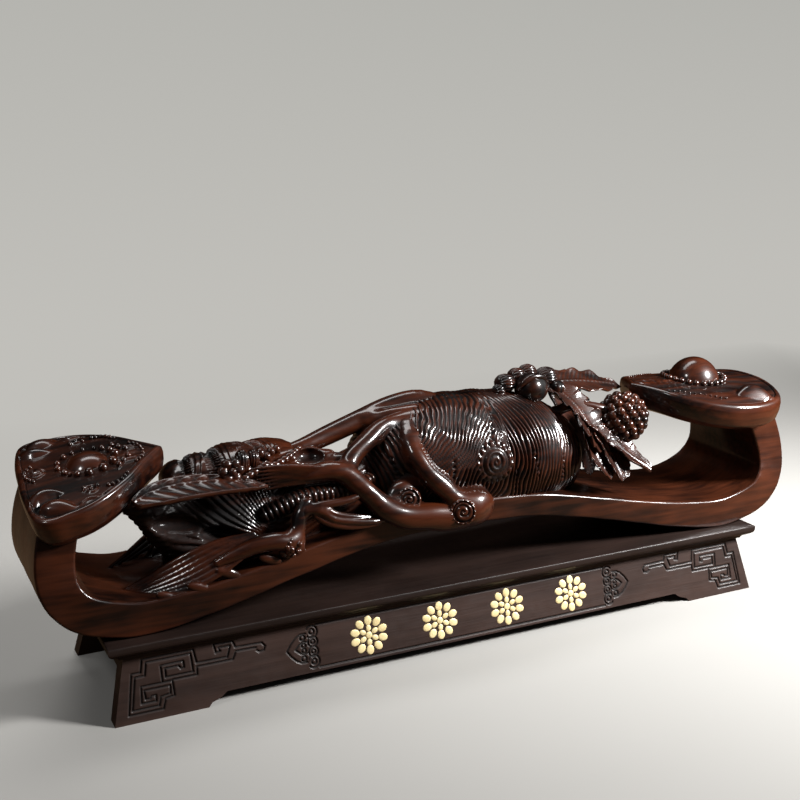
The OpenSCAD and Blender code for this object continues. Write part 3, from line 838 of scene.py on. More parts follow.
@dataclass(frozen=True)
class Finish(Coating):
    """Finish of a wooden surface: two tones of timber under wax, with painted shade in the carved hollows.

    Args:
        dark: Colour between the streaks.
        light: Colour of the streaks.
        shade_colour: Colour of the painted shade in the hollows and creases.
        gloss: Roughness where nothing is worn.
        spread: Roughness that wear adds.
        coat: Weight of the wax.
        relief: Strength of the grain's bump.
        contrast: Contrast of the streaks.
        sheen: Level of mirrored light.
        coat_roughness: Roughness of the wax.
        bump_height: Height of the bump in metres.
    """
    dark: Triple
    light: Triple
    shade_colour: Triple
    gloss: float
    spread: float
    coat: float
    relief: float
    contrast: float = 2.6
    sheen: float = 0.14
    coat_roughness: float = 0.13
    bump_height: float = 0.0004

    def wire(self, wires: Wires, shader: Node) -> None:
        """Mixes the timber, paints shade into its hollows and roughens them, and lays the wax over the
        rest.
        """
        grain = wires.use(grain_group(), self.contrast)
        shade_mask = wires.use(painted_shade_group(), 1.0).outputs["Mask"]
        patch = wires.use(wear_group(), 1.0).outputs["Patch"]
        timber = wires.mix(grain.outputs["Figure"], self.dark, self.light)
        rough = wires.maths("MULTIPLY_ADD", patch, self.spread, self.gloss)
        lift = wires.fill(wires.new("Bump"), {"Strength": self.relief, "Distance": self.bump_height,
                                              "Height": grain.outputs["Relief"]})
        # Painted shade: the mask turns the base colour to the shade colour and takes the wax off, so the
        # hollows lose their reflections too.
        wires.fill(shader, {"Base Color": wires.mix(shade_mask, timber, self.shade_colour),
                            "Roughness": wires.maths("MULTIPLY_ADD", shade_mask, 0.3, rough),
                            "Normal": lift.outputs["Normal"],
                            "Coat Weight": wires.times(wires.maths("SUBTRACT", 1.0, shade_mask), self.coat),
                            "Coat Roughness": self.coat_roughness, "Specular IOR Level": self.sheen})


WAXED = Finish("waxed_carving", dark=(0.0035, 0.001, 0.0007), light=(0.047, 0.0101, 0.0031),
               shade_colour=(0.0006, 0.0003, 0.00025), gloss=0.3, spread=0.3, coat=0.85, relief=0.2, contrast=4.8)
HANDLE_WAX = Finish("waxed_handle", dark=(0.005, 0.0016, 0.001), light=(0.046, 0.0118, 0.0046),
                    shade_colour=(0.0012, 0.0006, 0.0005), gloss=0.32, spread=0.3, coat=0.45, relief=0.25,
                    contrast=4.4)
SATIN = Finish("satin_stand", dark=(0.014, 0.0076, 0.006), light=(0.037, 0.0205, 0.016),
               shade_colour=(0.002, 0.0012, 0.001), gloss=0.36, spread=0.4, coat=0.05, relief=0.45, sheen=0.24)
# Painted shade: the board's copy of the satin finish is darker all over, for the shade that its top lies in
# under the ruyi.
SATIN_SHADED = replace(SATIN, name="satin_board_shaded", dark=(0.007, 0.0038, 0.003), light=(0.019, 0.0105, 0.0082))
PLAIN = Finish("plain_inner_timber", dark=(0.12, 0.062, 0.032), light=(0.3, 0.175, 0.095),
               shade_colour=(0.06, 0.03, 0.016), gloss=0.55, spread=0.3, coat=0.0, relief=0.6)


@dataclass(frozen=True)
class Metal(Coating):
    """Finish of the plated screws: pale steel, duller in patches."""
    name: str = "plated_steel"
    colour: Triple = (0.55, 0.5, 0.4)

    def wire(self, wires: Wires, shader: Node) -> None:
        """Sets a bare metal whose roughness follows the wear."""
        patch = wires.use(wear_group(), 1.0).outputs["Patch"]
        wires.fill(shader, {"Metallic": 1.0, "Base Color": (*self.colour, 1.0),
                            "Roughness": wires.maths("MULTIPLY_ADD", patch, 0.5, 0.2)})


@dataclass(frozen=True)
class Gilding(Coating):
    """Finish of the gold-filled motifs on the apron: pale gold paint, worn thin in places."""
    name: str = "gold_fill"
    colour: Triple = (0.86, 0.74, 0.42)
    worn: Triple = (0.55, 0.42, 0.19)

    def wire(self, wires: Wires, shader: Node) -> None:
        """Mixes fresh and worn gold by the wear."""
        patch = wires.use(wear_group(), 2.2).outputs["Patch"]
        wires.fill(shader, {"Metallic": 0.2, "Base Color": wires.mix(patch, self.colour, self.worn),
                            "Roughness": wires.maths("MULTIPLY_ADD", patch, 0.3, 0.34)})


@dataclass
class Handle:
    """Arched handle with a scroll at each end whose neck carries a head.

    A neck is its height above the seat and its lean. The arch and the scroll are shares of their reach and
    rise, and the width is drawn in by a share up the necks.
    """
    seat_x: float = 230.0
    seat_z: float = 53.8
    rise: float = 37.5
    half_length: float = 300.0
    scroll_rise: float = 48.0
    half_width: float = 49.0
    arch_thick: float = 17.0
    scroll_thick: float = 25.0
    corner: float = 1.9
    draw: float = 0.15
    left_neck: Pair = (84.5, 6.5)
    right_neck: Pair = (99.0, 18.0)
    arch: tuple[Pair, ...] = ((0, 1), (0.26, 0.93), (0.5, 0.65), (0.65, 0.43), (0.82, 0.18), (1, 0))
    scroll: tuple[Pair, ...] = ((0.4, 0.06), (0.7, 0.22), (0.88, 0.46), (0.97, 0.72), (1, 1))

    def half(self, neck: Pair) -> list[list[float]]:
        """Lists the under edge from the crown of the arch to the top of a neck of a height and lean."""
        reach = self.half_length - self.seat_x
        rows = [[f * self.seat_x, self.seat_z + g * self.rise] for f, g in self.arch]
        rows += [[self.seat_x + f * reach, self.seat_z + g * self.scroll_rise] for f, g in self.scroll]
        foot = self.seat_z + self.scroll_rise
        return rows + [[self.half_length - neck[1] * t * t, foot + t * (neck[0] - self.scroll_rise)]
                       for t in (0.35, 0.7, 1.0)]

    def edges(self, count: int) -> tuple[Array, Array, Array]:
        """Finds the under edge, its upward normals and the thickness from left neck to right neck.

        Args:
            count: Places along the handle.

        Returns:
            Under edge as x and z, normals as x and z, thickness.
        """
        left = [[-x, z] for x, z in self.half(self.left_neck)[::-1]]
        under = smooth_path(left + self.half(self.right_neck)[1:], count)
        way = unit(np.gradient(under, axis=0))
        up = np.stack([-way[:, 1], way[:, 0]], 1)
        t = ease((np.abs(under[:, 0]) - 0.5 * self.seat_x) / (0.75 * self.seat_x))
        return under, up, self.arch_thick + (self.scroll_thick - self.arch_thick) * t

    def build(self) -> None:
        """Builds the handle: a rounded oblong carried along the arch and up both scrolls."""
        under, up, thick = self.edges(420)
        middle = under + up * (thick / 2.0)[:, None]
        a = np.linspace(0.0, 0.5 * np.pi, 7)
        side = np.linspace(-1.0, 1.0, 24)[1:-1]
        edge = np.linspace(-1.0, 1.0, 10)[1:-1]
        c, s, flat = np.cos(a), np.sin(a), np.ones(len(a))
        long, short = np.ones(len(side)), np.ones(len(edge))
        share_w = np.r_[flat, side[::-1], -flat, -short, -flat, side, flat, short]
        share_h = np.r_[flat, long, flat, edge[::-1], -flat, -long, -flat, edge]
        cos_w = np.r_[c, 0.0 * long, -s, -short, -c, 0.0 * long, s, short]
        sin_h = np.r_[s, long, c, 0.0 * short, -s, -long, -c, 0.0 * short]
        climb = under[:, 1:] - self.seat_z - 0.1 * self.scroll_rise
        rise = ease(climb / (1.7 * self.scroll_rise))
        y = (share_w * (self.half_width - self.corner) + self.corner * cos_w) * (1.0 - self.draw * rise)
        h = share_h * (thick / 2.0 - self.corner)[:, None] + self.corner * sin_h
        grid = np.stack([middle[:, :1] + up[:, :1] * h, np.broadcast_to(y, h.shape),
                         middle[:, 1:] + up[:, 1:] * h], -1)
        skin = Skin("ruyi_handle")
        soft = 0.18 * wander(3, grid[..., 0] / 16.0, grid[..., 1] / 14.0, grid[..., 2] / 14.0)
        skin.rings(raised(grid, soft))
        skin.build(HANDLE_WAX, Body.RUYI, Slot.CARVED, ["handle"])


@dataclass
class Head:
    """Heart-shaped head with drooping lobes, a moulded rim, a pearl in a ring of beads, and relief.

    Args:
        name: Name of the piece.
        tip: Place of the heart's point in mm.
        length: From the point to the far side of the lobes.
        width: Over both lobes.
        slope: Degrees that the lobes hang below the point.
        roll: Degrees that one lobe hangs below the other.
        turn: Degrees about the upright.
        droop: How far the top has fallen at the full width.
        swell: How far the top rises in the middle.
        outline: Half of the outline as shares of the length and of half the width.
        thick: Thickness at the middle line.
        hub: Place that the rings start from, as a share of the length.
        border: Width of the rim.
        sunk: Depth of the ground inside the rim.
    """
    name: str
    tip: Triple
    length: float
    width: float
    slope: float
    roll: float
    turn: float
    droop: float
    swell: float
    outline: tuple[Pair, ...]
    thick: float = 24.0
    hub: float = 0.6
    border: float = 5.0
    sunk: float = 0.9

    def place(self, local: Array) -> Array:
        """Turns points from the head's own frame, tip at the origin, to the model's."""
        r, s, t = math.radians(-self.roll), math.radians(self.slope), math.radians(self.turn)
        x, y, z = local[..., 0], local[..., 1], local[..., 2]
        y, z = y * math.cos(r) - z * math.sin(r), y * math.sin(r) + z * math.cos(r)
        x, z = x * math.cos(s) + z * math.sin(s), -x * math.sin(s) + z * math.cos(s)
        x, y = x * math.cos(t) - y * math.sin(t), x * math.sin(t) + y * math.cos(t)
        return np.stack([x, y, z], -1) + np.asarray(self.tip)

    def contour(self, count: int) -> Array:
        """Draws the heart's outline, evenly spaced, from the tip round to the tip."""
        half = [[f * self.length, g * self.width / 2.0] for f, g in self.outline]
        return smooth_path(half + [[x, -y] for x, y in half[-2::-1]], count + 1)[:-1]

    def top(self, x: Array, y: Array) -> Array:
        """Gives the height of the plain top: it swells along the middle and droops towards both lobes."""
        g = ((x - self.hub * self.length) / (self.hub * self.length)) ** 2
        return self.swell * (1.0 - g) - self.sag(y)

    def sag(self, y: Array) -> Array:
        """Gives how far the lobes droop at a distance from the middle line."""
        return self.droop * (y / (self.width / 2.0)) ** 2

    def relief(self, x: Array, y: Array, edge: Array) -> Array:
        """Gives the height of the ornament on the top; each head has its own."""
        return np.zeros_like(x)

    def build(self) -> None:
        """Builds the head: rings of its outline from the middle of the top, over the rim, to the base."""
        count = 480
        ring = self.contour(count)
        hub = np.array([self.hub * self.length, 0.0])
        far = np.linalg.norm(ring - hub, axis=1)
        s = np.r_[np.linspace(0.006, 0.88, 108), np.linspace(0.89, 1.0, 30)]
        flat = hub + s[:, None, None] * (ring - hub)
        x, y = flat[..., 0], flat[..., 1]
        edge = (1.0 - s)[:, None] * far
        carving = self.relief(x, y, edge)
        roll_off = -2.4 * (1.0 - np.sqrt(held(1.0 - held(1.0 - edge / 2.6) ** 2)))
        within = edge - self.border
        groove = -1.2 * bump(within, 0.7) - self.sunk * ease(within / 1.5)
        z = self.top(x, y) + carving + groove + roll_off
        rim = z[-1]
        drop = np.linspace(0.0, 1.0, 26)[1:]
        scale = np.interp(drop, [0.0, 0.12, 0.35, 0.6, 0.82, 0.93, 1.0],
                          [1.0, 1.006, 0.998, 0.972, 0.9, 0.82, 0.7])
        flat_wall = hub + scale[:, None, None] * (ring - hub)
        low = -self.thick - self.sag(flat_wall[..., 1])
        wall = np.concatenate([flat_wall, (rim + (low - rim) * drop[:, None])[..., None]], -1)
        under = hub + np.linspace(0.66, 0.02, 14)[:, None, None] * (ring - hub)
        base = -self.thick - 0.2 - self.sag(under[..., 1:])
        local = np.concatenate([np.concatenate([flat, z[..., None]], -1), wall,
                                np.concatenate([under, base], -1)])
        # Painted shade in the low parts of the relief and in the groove inside the rim; none on the wall or
        # the base.
        deep = held(-(carving + groove + 0.5) / 1.3)
        deep = np.concatenate([deep, np.zeros((len(wall) + len(under), count))])
        skin = Skin(self.name)
        skin.rings(self.place(local), deep)
        self.applied(skin)
        skin.carve()

    def on_top(self, x: Array, y: Array, lift: float) -> Array:
        """Gives points on the sunken ground of the top, lifted above it."""
        z = self.top(x, y) - self.sunk + lift
        return self.place(np.stack([x, y, z], -1))

    def applied(self, skin: Skin) -> None:
        """Adds the pearl and the beads of the ornament; each head has its own."""

    def dome(self, x: float, radius: float, height: float) -> None:
        """Builds the pearl, a piece of its own: a part of a ball let into the top by a foot."""
        r, a = disc(0.03, 40, 72)
        k = (radius ** 2 + height ** 2) / (2.0 * height)
        rise = r * radius
        ball = np.sqrt(np.clip(k ** 2 - rise ** 2, 0.0, None)) - (k - height)
        px, py = x + rise * np.cos(a), rise * np.sin(a)
        cap = np.stack([px, py, self.top(px, py) - self.sunk + ball], -1)
        foot = cap[-1:] - np.array([0.0, 0.0, 2.0])
        skin = Skin(self.name.replace("head", "pearl"))
        skin.rings(self.place(np.concatenate([cap, foot])))
        skin.carve()

    def beads(self, skin: Skin, x: Sequence[float], y: Sequence[float], radius: float) -> None:
        """Adds a row of beads half sunk in the top."""
        skin.balls(self.on_top(np.asarray(x, float), np.asarray(y, float), 0.45 * radius),
                   np.full(len(x), radius))

    def bead_ring(self, skin: Skin, x: float, far: float, turns: Array, radius: float) -> None:
        """Adds beads at a distance round a place on the middle line, at angles in radians."""
        self.beads(skin, x + far * np.cos(turns), far * np.sin(turns), radius)

    @staticmethod
    def bean(x: Array, y: Array, cx: float, cy: float, length: float, width: float, turn: float) -> Array:
        """Gives a smooth long boss of height one, turned by an angle in degrees."""
        c, s = math.cos(math.radians(turn)), math.sin(math.radians(turn))
        u, v = (x - cx) * c + (y - cy) * s, -(x - cx) * s + (y - cy) * c
        v = v - 0.02 * u ** 2
        return np.sqrt(held(1.0 - (u / length) ** 2 - (v / width) ** 2))


@dataclass
class LeftHead(Head):
    """Left head: a low pearl, strings of beads, sprays and a scroll with a hooked groove on each lobe.

    Places are in the head's own frame: x of the pearl and of the point that the sprays fan from, x and y
    of the curl beside the scroll and of the line of the groove.
    """
    pearl: float = 49.5
    spray: float = 74.0
    curl: Pair = (52.0, 39.5)
    groove: Rows = ((73, 37.5), (78, 38.5), (83, 40.5), (86, 45), (85.5, 51), (81.5, 55.5), (74, 58),
                    (64, 57.5), (53, 54), (44, 48))

    def relief(self, x: Array, y: Array, edge: Array) -> Array:
        """Gives the scrolls on both lobes, the curl and stem beside them, and the sprays of the ground."""
        high = np.zeros_like(x)
        for side in (1.0, -1.0):
            v = side * y
            first = self.bean(x, v, 81.0, 33.5, length=13.0, width=7.0, turn=17.0) ** 2.4
            second = self.bean(x, v, 75.5, 49.5, length=13.0, width=8.6, turn=-8.0) ** 2.4
            groove = bump(to_line(x, v, np.asarray(self.groove)), 1.5)
            high += 4.8 * np.maximum(first, second) - 2.4 * groove
            bend = v - (47.0 + 0.33 * (x - 45.0) + 1.2 * np.sin((x - 44.0) / 2.4))
            high += 1.5 * bump(bend, 1.0) * ease((x - 44.0) / 2.0) * ease((62.0 - x) / 3.0)
            u, w = x - self.curl[0], v - self.curl[1]
            r, a = np.hypot(u, w), np.arctan2(w, u)
            high += 1.5 * bump(r - 2.4 - 0.75 * (a % TURN) / 2.0, 0.75) * ease(6.4 - r)
            twig = np.abs(v - 12.0 - 0.9 * (x - 24.0) - 2.0 * np.sin(x / 2.3))
            high += 1.2 * bump(twig, 1.1) * ease((x - 16.0) / 3.0) * ease((33.0 - x) / 3.0)
        for turn in (-42.0, -14.0, 14.0, 42.0):
            c, s = math.cos(math.radians(turn)), math.sin(math.radians(turn))
            u, w = (x - self.spray) * c + y * s, -(x - self.spray) * s + y * c
            high += 1.3 * np.sqrt(held(1.0 - ((u - 7.0) / 4.5) ** 2 - (w / 1.5) ** 2))
        ground = 0.3 * wander(11, x / 2.4, y / 2.4) * ease((edge - 6.5) / 3.0)
        return high * ease((edge - 2.0) / 3.0) + ground * ease((23.0 - np.hypot(x - 24.0, y)) / 8.0)

    def applied(self, skin: Skin) -> None:
        """Builds the pearl, and adds its ring of beads, the strings of beads and the pairs of berries."""
        self.dome(self.pearl, radius=13.5, height=6.0)
        for far, radius, turns in ((18.8, 2.3, (65, 35, 7, -16, -45, 208, 230)),
                                   (18.8, 3.1, (88, 117, 148, 182)), (19.2, 1.7, (-68, -90, -112, 50))):
            self.bead_ring(skin, self.pearl, far, np.radians(turns), radius)
        d = np.radians(np.linspace(-78, 78, 9))
        self.beads(skin, 21.0 - 8.0 * np.cos(d), 15.5 * np.sin(d), 1.35)
        for side in (-1.0, 1.0):
            self.beads(skin, [41.2, 38.4, 35.0, 32.0, 29.6, 27.4],
                       side * np.array([39.0, 38.8, 37.8, 35.8, 33.0, 29.4]), 1.55)
            self.beads(skin, [23.0, 27.0, 30.5], side * np.array([6.5, 11.5, 16.0]), 2.2)
            self.beads(skin, [52.0, 56.0, 47.5], side * np.array([39.5, 36.0, 36.5]), 1.5)
        self.beads(skin, [84.5, 87.0, 88.8, 89.4, 88.6, 86.8, 84.6],
                   [-11.3, -7.8, -4.0, 0.0, 4.0, 7.8, 11.3], 1.5)


@dataclass
class RightHead(Head):
    """Right head: a tall pearl, at an x in its own frame, in a ring of beads, and a knob on each lobe."""
    pearl: float = 64.0

    def relief(self, x: Array, y: Array, edge: Array) -> Array:
        """Gives the smooth knobs on the lobes, the stippled ground and the leaf lines near the tip."""
        high = np.zeros_like(x)
        for side in (1.0, -1.0):
            high += 7.0 * self.bean(x, side * y, 89.0, 44.0, length=16.0, width=10.0, turn=20.0) ** 2.2
        ground = 0.42 * wander(7, x / 1.9, y / 1.9) * ease((edge - 5.5) / 2.0) * (high < 0.5)
        lines = ridges((x + 0.5 * np.abs(y)) / 6.0, 0.7)
        near_tip = bump(np.hypot((x - 24.0) / 18.0, y / 24.0), 1.0)
        leaf = 0.8 * (lines - 0.6) * near_tip * ease((edge - 6.0) / 4.0)
        return (high + ground + leaf) * ease((edge - 2.0) / 2.0)

    def applied(self, skin: Skin) -> None:
        """Builds the pearl, and adds its ring of beads and the small beads along the rim."""
        self.dome(self.pearl, radius=20.5, height=16.5)
        self.bead_ring(skin, self.pearl, 24.6, angles(26), 2.6)
        b = np.linspace(0.1, 1.0, 12)
        for side in (-1.0, 1.0):
            self.beads(skin, 14.0 + 44.0 * b, side * (24.0 + 24.0 * b), 1.0)


@dataclass
class GinsengRoot:
    """Ginseng root that lies along the handle, wrinkled in rings, with a spiral and rows of pits.

    A ring is its x, its share of the full section and the height of its middle above the crown. A row of
    pits is x and height of its upper end, then of its lower end. A moat runs round the spiral.
    """
    half_width: float = 51.0
    half_height: float = 47.5
    rings: tuple[Triple, ...] = (
        (-68, 0.25, 21), (-60, 0.55, 21), (-42, 0.8, 21.5), (-12, 0.955, 22), (20, 1, 21.5), (52, 1, 20),
        (80, 0.9, 17.5), (100, 0.73, 14), (114, 0.5, 11.5), (122, 0.2, 10))
    wrinkle: float = 3.5
    depth: float = 2.2
    spiral: Pair = (22.0, 28.0)
    moat: float = 10.2
    pits: tuple[tuple[float, ...], ...] = ((-10, 33, -11, 18), (28, 59, 22, 44), (55, 31, 61, 11),
                                           (85, 25, 87, 2), (-52, 36, -49, 22), (40, 20, 41, 4))

    def from_spiral(self, x: Array, y: Array, up: Array) -> Array:
        """Gives the distance from the middle of the spiral, which the rear side is far from."""
        return np.hypot(x - self.spiral[0], up - self.spiral[1]) + np.where(y < 0.0, 0.0, 60.0)

    def bend(self, x: Array, y: Array, up: Array) -> Array:
        """Gives the place along the root that a wrinkle belongs to.

        Left of the crossing limb wrinkles lean one way, between the limb and the crease the other way, and
        right of it they bow. They step aside round the spiral and wander in two sizes of wave.
        """
        right = ease((x - 26.0) / 10.0)
        left = ease((-30.0 - x) / 10.0)
        high = up - 30.0
        bowed = x + np.where(high > 0.0, 0.012, 0.0035) * high ** 2
        leaning = x - 0.35 * (up - 20.0) - 0.55 * np.maximum(up - 26.0, 0.0)
        across = x + 0.38 * (up - 20.0)
        bent = right * bowed + (1.0 - right) * ((1.0 - left) * leaning + left * across)
        bent = bent - (x - self.spiral[0]) * 0.6 * bump(self.from_spiral(x, y, up), 15.0)
        bent = bent + 2.2 * wander(21, x / 13.0, up / 11.0, y / 14.0)
        return bent + 0.6 * wander(22, x / 4.0, up / 6.0, y / 8.0)

    def build(self) -> None:
        """Builds the root: ellipses along x, cut by the wrinkles, the spiral and the pits."""
        p = smooth_path([[x, z, s] for x, s, z in self.rings], 385)
        a = angles(252)
        x = np.broadcast_to(p[:, :1], (len(p), len(a)))
        share = p[:, 2:]
        y = share * self.half_width * np.cos(a)
        up = p[:, 1:2] + share * self.half_height * np.sin(a)
        grid = np.stack([x, y, up + CROWN], -1)
        front = ease(-y / 12.0)
        sx, sz = self.spiral
        d = self.from_spiral(x, y, up)
        lines = ridges(self.bend(x, y, up) / self.wrinkle, 1.05)
        strength = 0.75 + 0.35 * wander(24, x / 9.0, up / 9.0, y / 9.0)
        height = self.depth * np.clip(strength, 0.35, 1.2) * (lines - 1.0)
        height = height + 0.5 * wander(25, x / 8.0, up / 8.0, y / 8.0)
        # Painted shade: deep darkens the grooves between wrinkles, and below also the spiral's cut, its
        # ring and moat, the pits and the gap.
        deep = held((0.8 - lines) * 2.2)
        angle = np.arctan2(up - sz, x - sx)
        coil = ridges(d / 4.0 - angle / TURN, 0.8)
        inside, bare = ease((9.2 - d) / 0.8), ease((15.6 - d) / 1.6)
        ring = bump(d - 13.4, 1.2) * held(np.cos(17.0 * angle))
        boss = 0.7 + inside * (1.0 + 1.5 * (coil - 0.8)) - 1.8 * ring - 0.8 * bump(d - self.moat, 0.7)
        height = height * (1.0 - bare) + bare * boss
        # Painted shade in the spiral's cut, its ring of dots and its moat.
        dark = held(inside * (1.0 - coil) * 1.3 + ring + 0.8 * bump(d - self.moat, 0.8))
        deep = deep * (1.0 - bare) + bare * dark
        for x0, z0, x1, z1 in self.pits:
            t = held((up - z1) / (z0 - z1))
            lane = bump(x - x1 - t * (x0 - x1), 1.3) * ease((up - z1 + 1.5) / 1.5)
            lane = lane * ease((z0 + 1.5 - up) / 1.5) * front
            hole = lane * held(np.cos(TURN * up / 4.0)) * (1.0 - bare)
            height = height - 2.0 * hole
            deep = np.maximum(deep, hole)
        gap = bump(x + 42.0 - 0.25 * (up - 20.0), 4.0) * ease((up + 6.0) / 6.0)
        gap = gap * ease((50.0 - up) / 14.0) * front
        skin = Skin("ginseng_body")
        skin.rings(raised(grid, height - 5.0 * gap), held(deep + 0.8 * gap))
        skin.carve("ginseng_root")


def ginseng_core() -> Trunk:
    """Gives the plain core of the ginseng root, which limbs flow into."""
    g = GinsengRoot()
    return Trunk([(x, 0.0, z, g.half_width * s, g.half_height * s) for x, s, z in g.rings])


def fluted(count: float, depth: float, seed: int) -> Callable[[Array, Array], Array]:
    """Makes the relief of a limb: grooves along it that wander and fade, over a slow unevenness.

    Args:
        count: Grooves round the limb.
        depth: Depth in mm.
        seed: Number that fixes the wandering.

    Returns:
        A relief for Skin.tube.
    """
    def relief(s: Array, a: Array) -> Array:
        """Gives the height from the length and the angle."""
        c, n = np.cos(a), np.sin(a)
        phase = a / TURN * count + 0.35 * wander(seed, s / 9.0, 1.5 * c, 1.5 * n)
        fade = 0.5 + 0.5 * np.clip(wander(seed + 1, s / 14.0, 2.0 * c, 2.0 * n), -1.0, 1.0)
        return depth * fade * (ridges(phase, 0.8) - 1.0) + 0.4 * wander(seed + 2, s / 7.0, c, n)
    return relief


@dataclass
class RootLimbs:
    """Limbs and rootlets of the ginseng, which run left along the handle and over its front edge."""
    upper: Rows = ((-124, 2, 39, 4.5), (-107, 1, 42, 6), (-86, 5, 47, 7), (-59, 8, 54.5, 7.5),
                   (-33, 10, 61.5, 8), (-10, 9, 64, 8), (8, 8, 58, 6))
    fork: Rows = ((-54, 3, 55, 4.5), (-40, -3, 59, 5), (-22, -6, 61, 4))
    knee: Rows = ((-128, -28, 28, 4.5), (-112, -33, 33, 6), (-100, -36, 34, 7), (-90, -39, 31, 7.5),
                  (-82, -43, 24, 7.5), (-75, -46, 16, 7.6), (-66, -49, 7, 8.2), (-50, -51, -1, 9.2),
                  (-28, -52, -4.5, 10), (-8, -52, -6, 10.5), (6, -51, -6, 9))
    riser: Rows = ((-88, -34, 33, 6.5), (-78, -28, 41, 6.6), (-64, -21, 48.5, 6.8), (-46, -13, 54.5, 6.5),
                   (-26, -7, 57, 5.5), (-8, -4, 60, 4))
    crossing: Rows = ((-31, -6, 55, 4), (-35, -20, 52, 5.5), (-37, -34, 42.5, 6), (-34, -42, 32, 6.6),
                      (-27, -47, 22, 7), (-18, -50.5, 13, 7.4), (-9, -52, 4, 8), (0, -53, -3, 8))
    node: Rows = ((-184, -45, -15, 3.5), (-172, -46, -10, 5), (-160, -47, -6, 6), (-148, -48, -5, 6.2),
                  (-138, -48, -7, 6.6), (-131, -46, -9, 7))
    upright: Rows = ((-134, -46, -8, 6), (-128, -45.5, 0, 5.2), (-125, -44, 8, 5), (-120, -40, 15, 5.5))

    def build(self) -> None:
        """Builds the smooth limbs, then the rootlets and the limb at the back."""
        root, mass = ginseng_core(), RootMass().core()
        knee = Stroke(self.knee, 40)
        Sculpt([Stroke(self.upper, 24), Stroke(self.fork)], [root, mass],
               soft=7.0, tight=5.0, sink=2.2).add(Skin("upper_limb")).carve()
        middle = Skin("middle_limb")
        strands = [Stroke(((-153 + 7 * t, -29, 41 - 16 * t, 0.6), (-132 + 2 * t, -32, 40.5 - 13 * t, 1.6),
                           (-113 + 3 * t, -36.5, 38.5 - 10 * t, 1.7), (-97, -40.5, 36 - 6 * t, 0.8)), 12)
                   for t in np.linspace(0.0, 1.0, 7)]
        Sculpt([knee, Stroke(self.riser, 20), Lump((-46, -40.5, 8), (14, 8.5, 14))], [root, mass],
               soft=7.0, tight=5.0, relief=self.polish, sink=2.2).add(middle)
        Sculpt(strands, [knee], soft=1.6, tight=0.5, margin=0.8, step=0.6).add(middle)
        middle.coil((-46.5, -48.2, CROWN + 9.5), (-0.35, -1, 0.2), radius=9.0, turns=2.2, dots=13)
        middle.coil((-11, -62.5, CROWN - 0.5), (-0.42, -1, 0.2), radius=9.5, turns=1.8, dots=15, dome=0.3)
        middle.carve()
        Sculpt([Stroke(self.crossing, 24), Lump((2, -51, -2), (18, 11.5, 13.5))], [root, knee],
               soft=6.0, tight=7.0, relief=self.polish, sink=2.2).add(Skin("crossing_limb")).carve()
        self.rootlets(mass)
        self.rear()

    @staticmethod
    def polish(p: Array) -> Array:
        """Gives the slow unevenness of a limb rubbed smooth by hand."""
        return 0.45 * wander(41, p[:, 0] / 7.0, p[:, 1] / 5.0, p[:, 2] / 5.0)

    def rootlets(self, mass: Trunk) -> None:
        """Builds the ringed root, the forked rootlet and the node limb with its knob."""
        ringed = Skin("ringed_root")
        path = ((-146, -30, 8, 6), (-130, -34, 15, 6.5), (-116, -36, 18, 6.5), (-100, -36, 18.5, 6.2),
                (-84, -32, 18.5, 6), (-62, -22, 20, 5))
        ringed.tube(path, 300, 44, lambda s, a: 1.5 * (ridges(s / 3.9 + 0.12 * np.sin(a), 0.7) - 1.0))
        ringed.carve()
        prongs = [((-121, -45, 12, 2.6), (-112, -47, 14.5, 3.2), (-98, -48, 15.2, 3), (-88, -48, 16.5, 2.5),
                   (-75, -46, 20.5, 0.8)),
                  ((-121, -46, 12, 2.4), (-112, -49, 11, 3), (-104, -51, 5, 2.8), (-90, -52.5, 1.5, 2.6),
                   (-76, -53, -0.5, 2.2), (-64, -52, -1.5, 0.8)),
                  ((-118, -46.5, 13, 2), (-110, -49, 12, 2.6), (-101, -50.5, 7.5, 2.4),
                   (-89, -51.5, 4.5, 2), (-76, -51, 2.5, 0.8)),
                  ((-116, -48, 8, 2), (-108, -50.5, 2.5, 2.2), (-96, -52, -1.5, 2), (-82, -52.5, -3.2, 1.5),
                   (-70, -52, -3.5, 0.7))]
        Sculpt([Stroke(p, 16) for p in prongs], [Stroke(self.upright)], soft=4.0, tight=1.0, margin=3.0,
               step=0.6).add(Skin("forked_rootlet")).carve()
        node = Skin("node_limb")
        Sculpt([Stroke(self.node, 24), Stroke(self.upright)], [mass, Bed()], soft=6.0, tight=5.0,
               margin=4.0, relief=self.polish).add(node)
        rng = np.random.default_rng(5)
        spots = unit(rng.normal(size=(18, 3)) * [1.0, 0.5, 1.0] + [0.0, -1.1, 0.0])
        node.balls(np.array([-135.0, -47.5, CROWN - 9.0]) + [8.0, 7.8, 8.0] * spots,
                   rng.uniform(1.4, 2.4, 18))
        node.carve()

    def rear(self) -> None:
        """Builds the limb at the back, which flows into the root, and its coil."""
        rear = Skin("rear_limb")
        path = ((2, 38, 32, 6.5), (-30, 44, 22, 7.5), (-64, 42, 12, 8), (-100, 39, 4, 7.5),
                (-140, 38, -8, 7), (-176, 36, -17, 6), (-206, 30, -28, 4.5))
        Sculpt([Stroke(path, 36)], [ginseng_core(), Bed()], soft=6.0, step=1.0,
               relief=self.polish).add(rear)
        rear.coil((-64, 48.5, CROWN + 13), (0, 1, 0.2), radius=8.0, turns=2.0, dots=12)
        rear.carve()


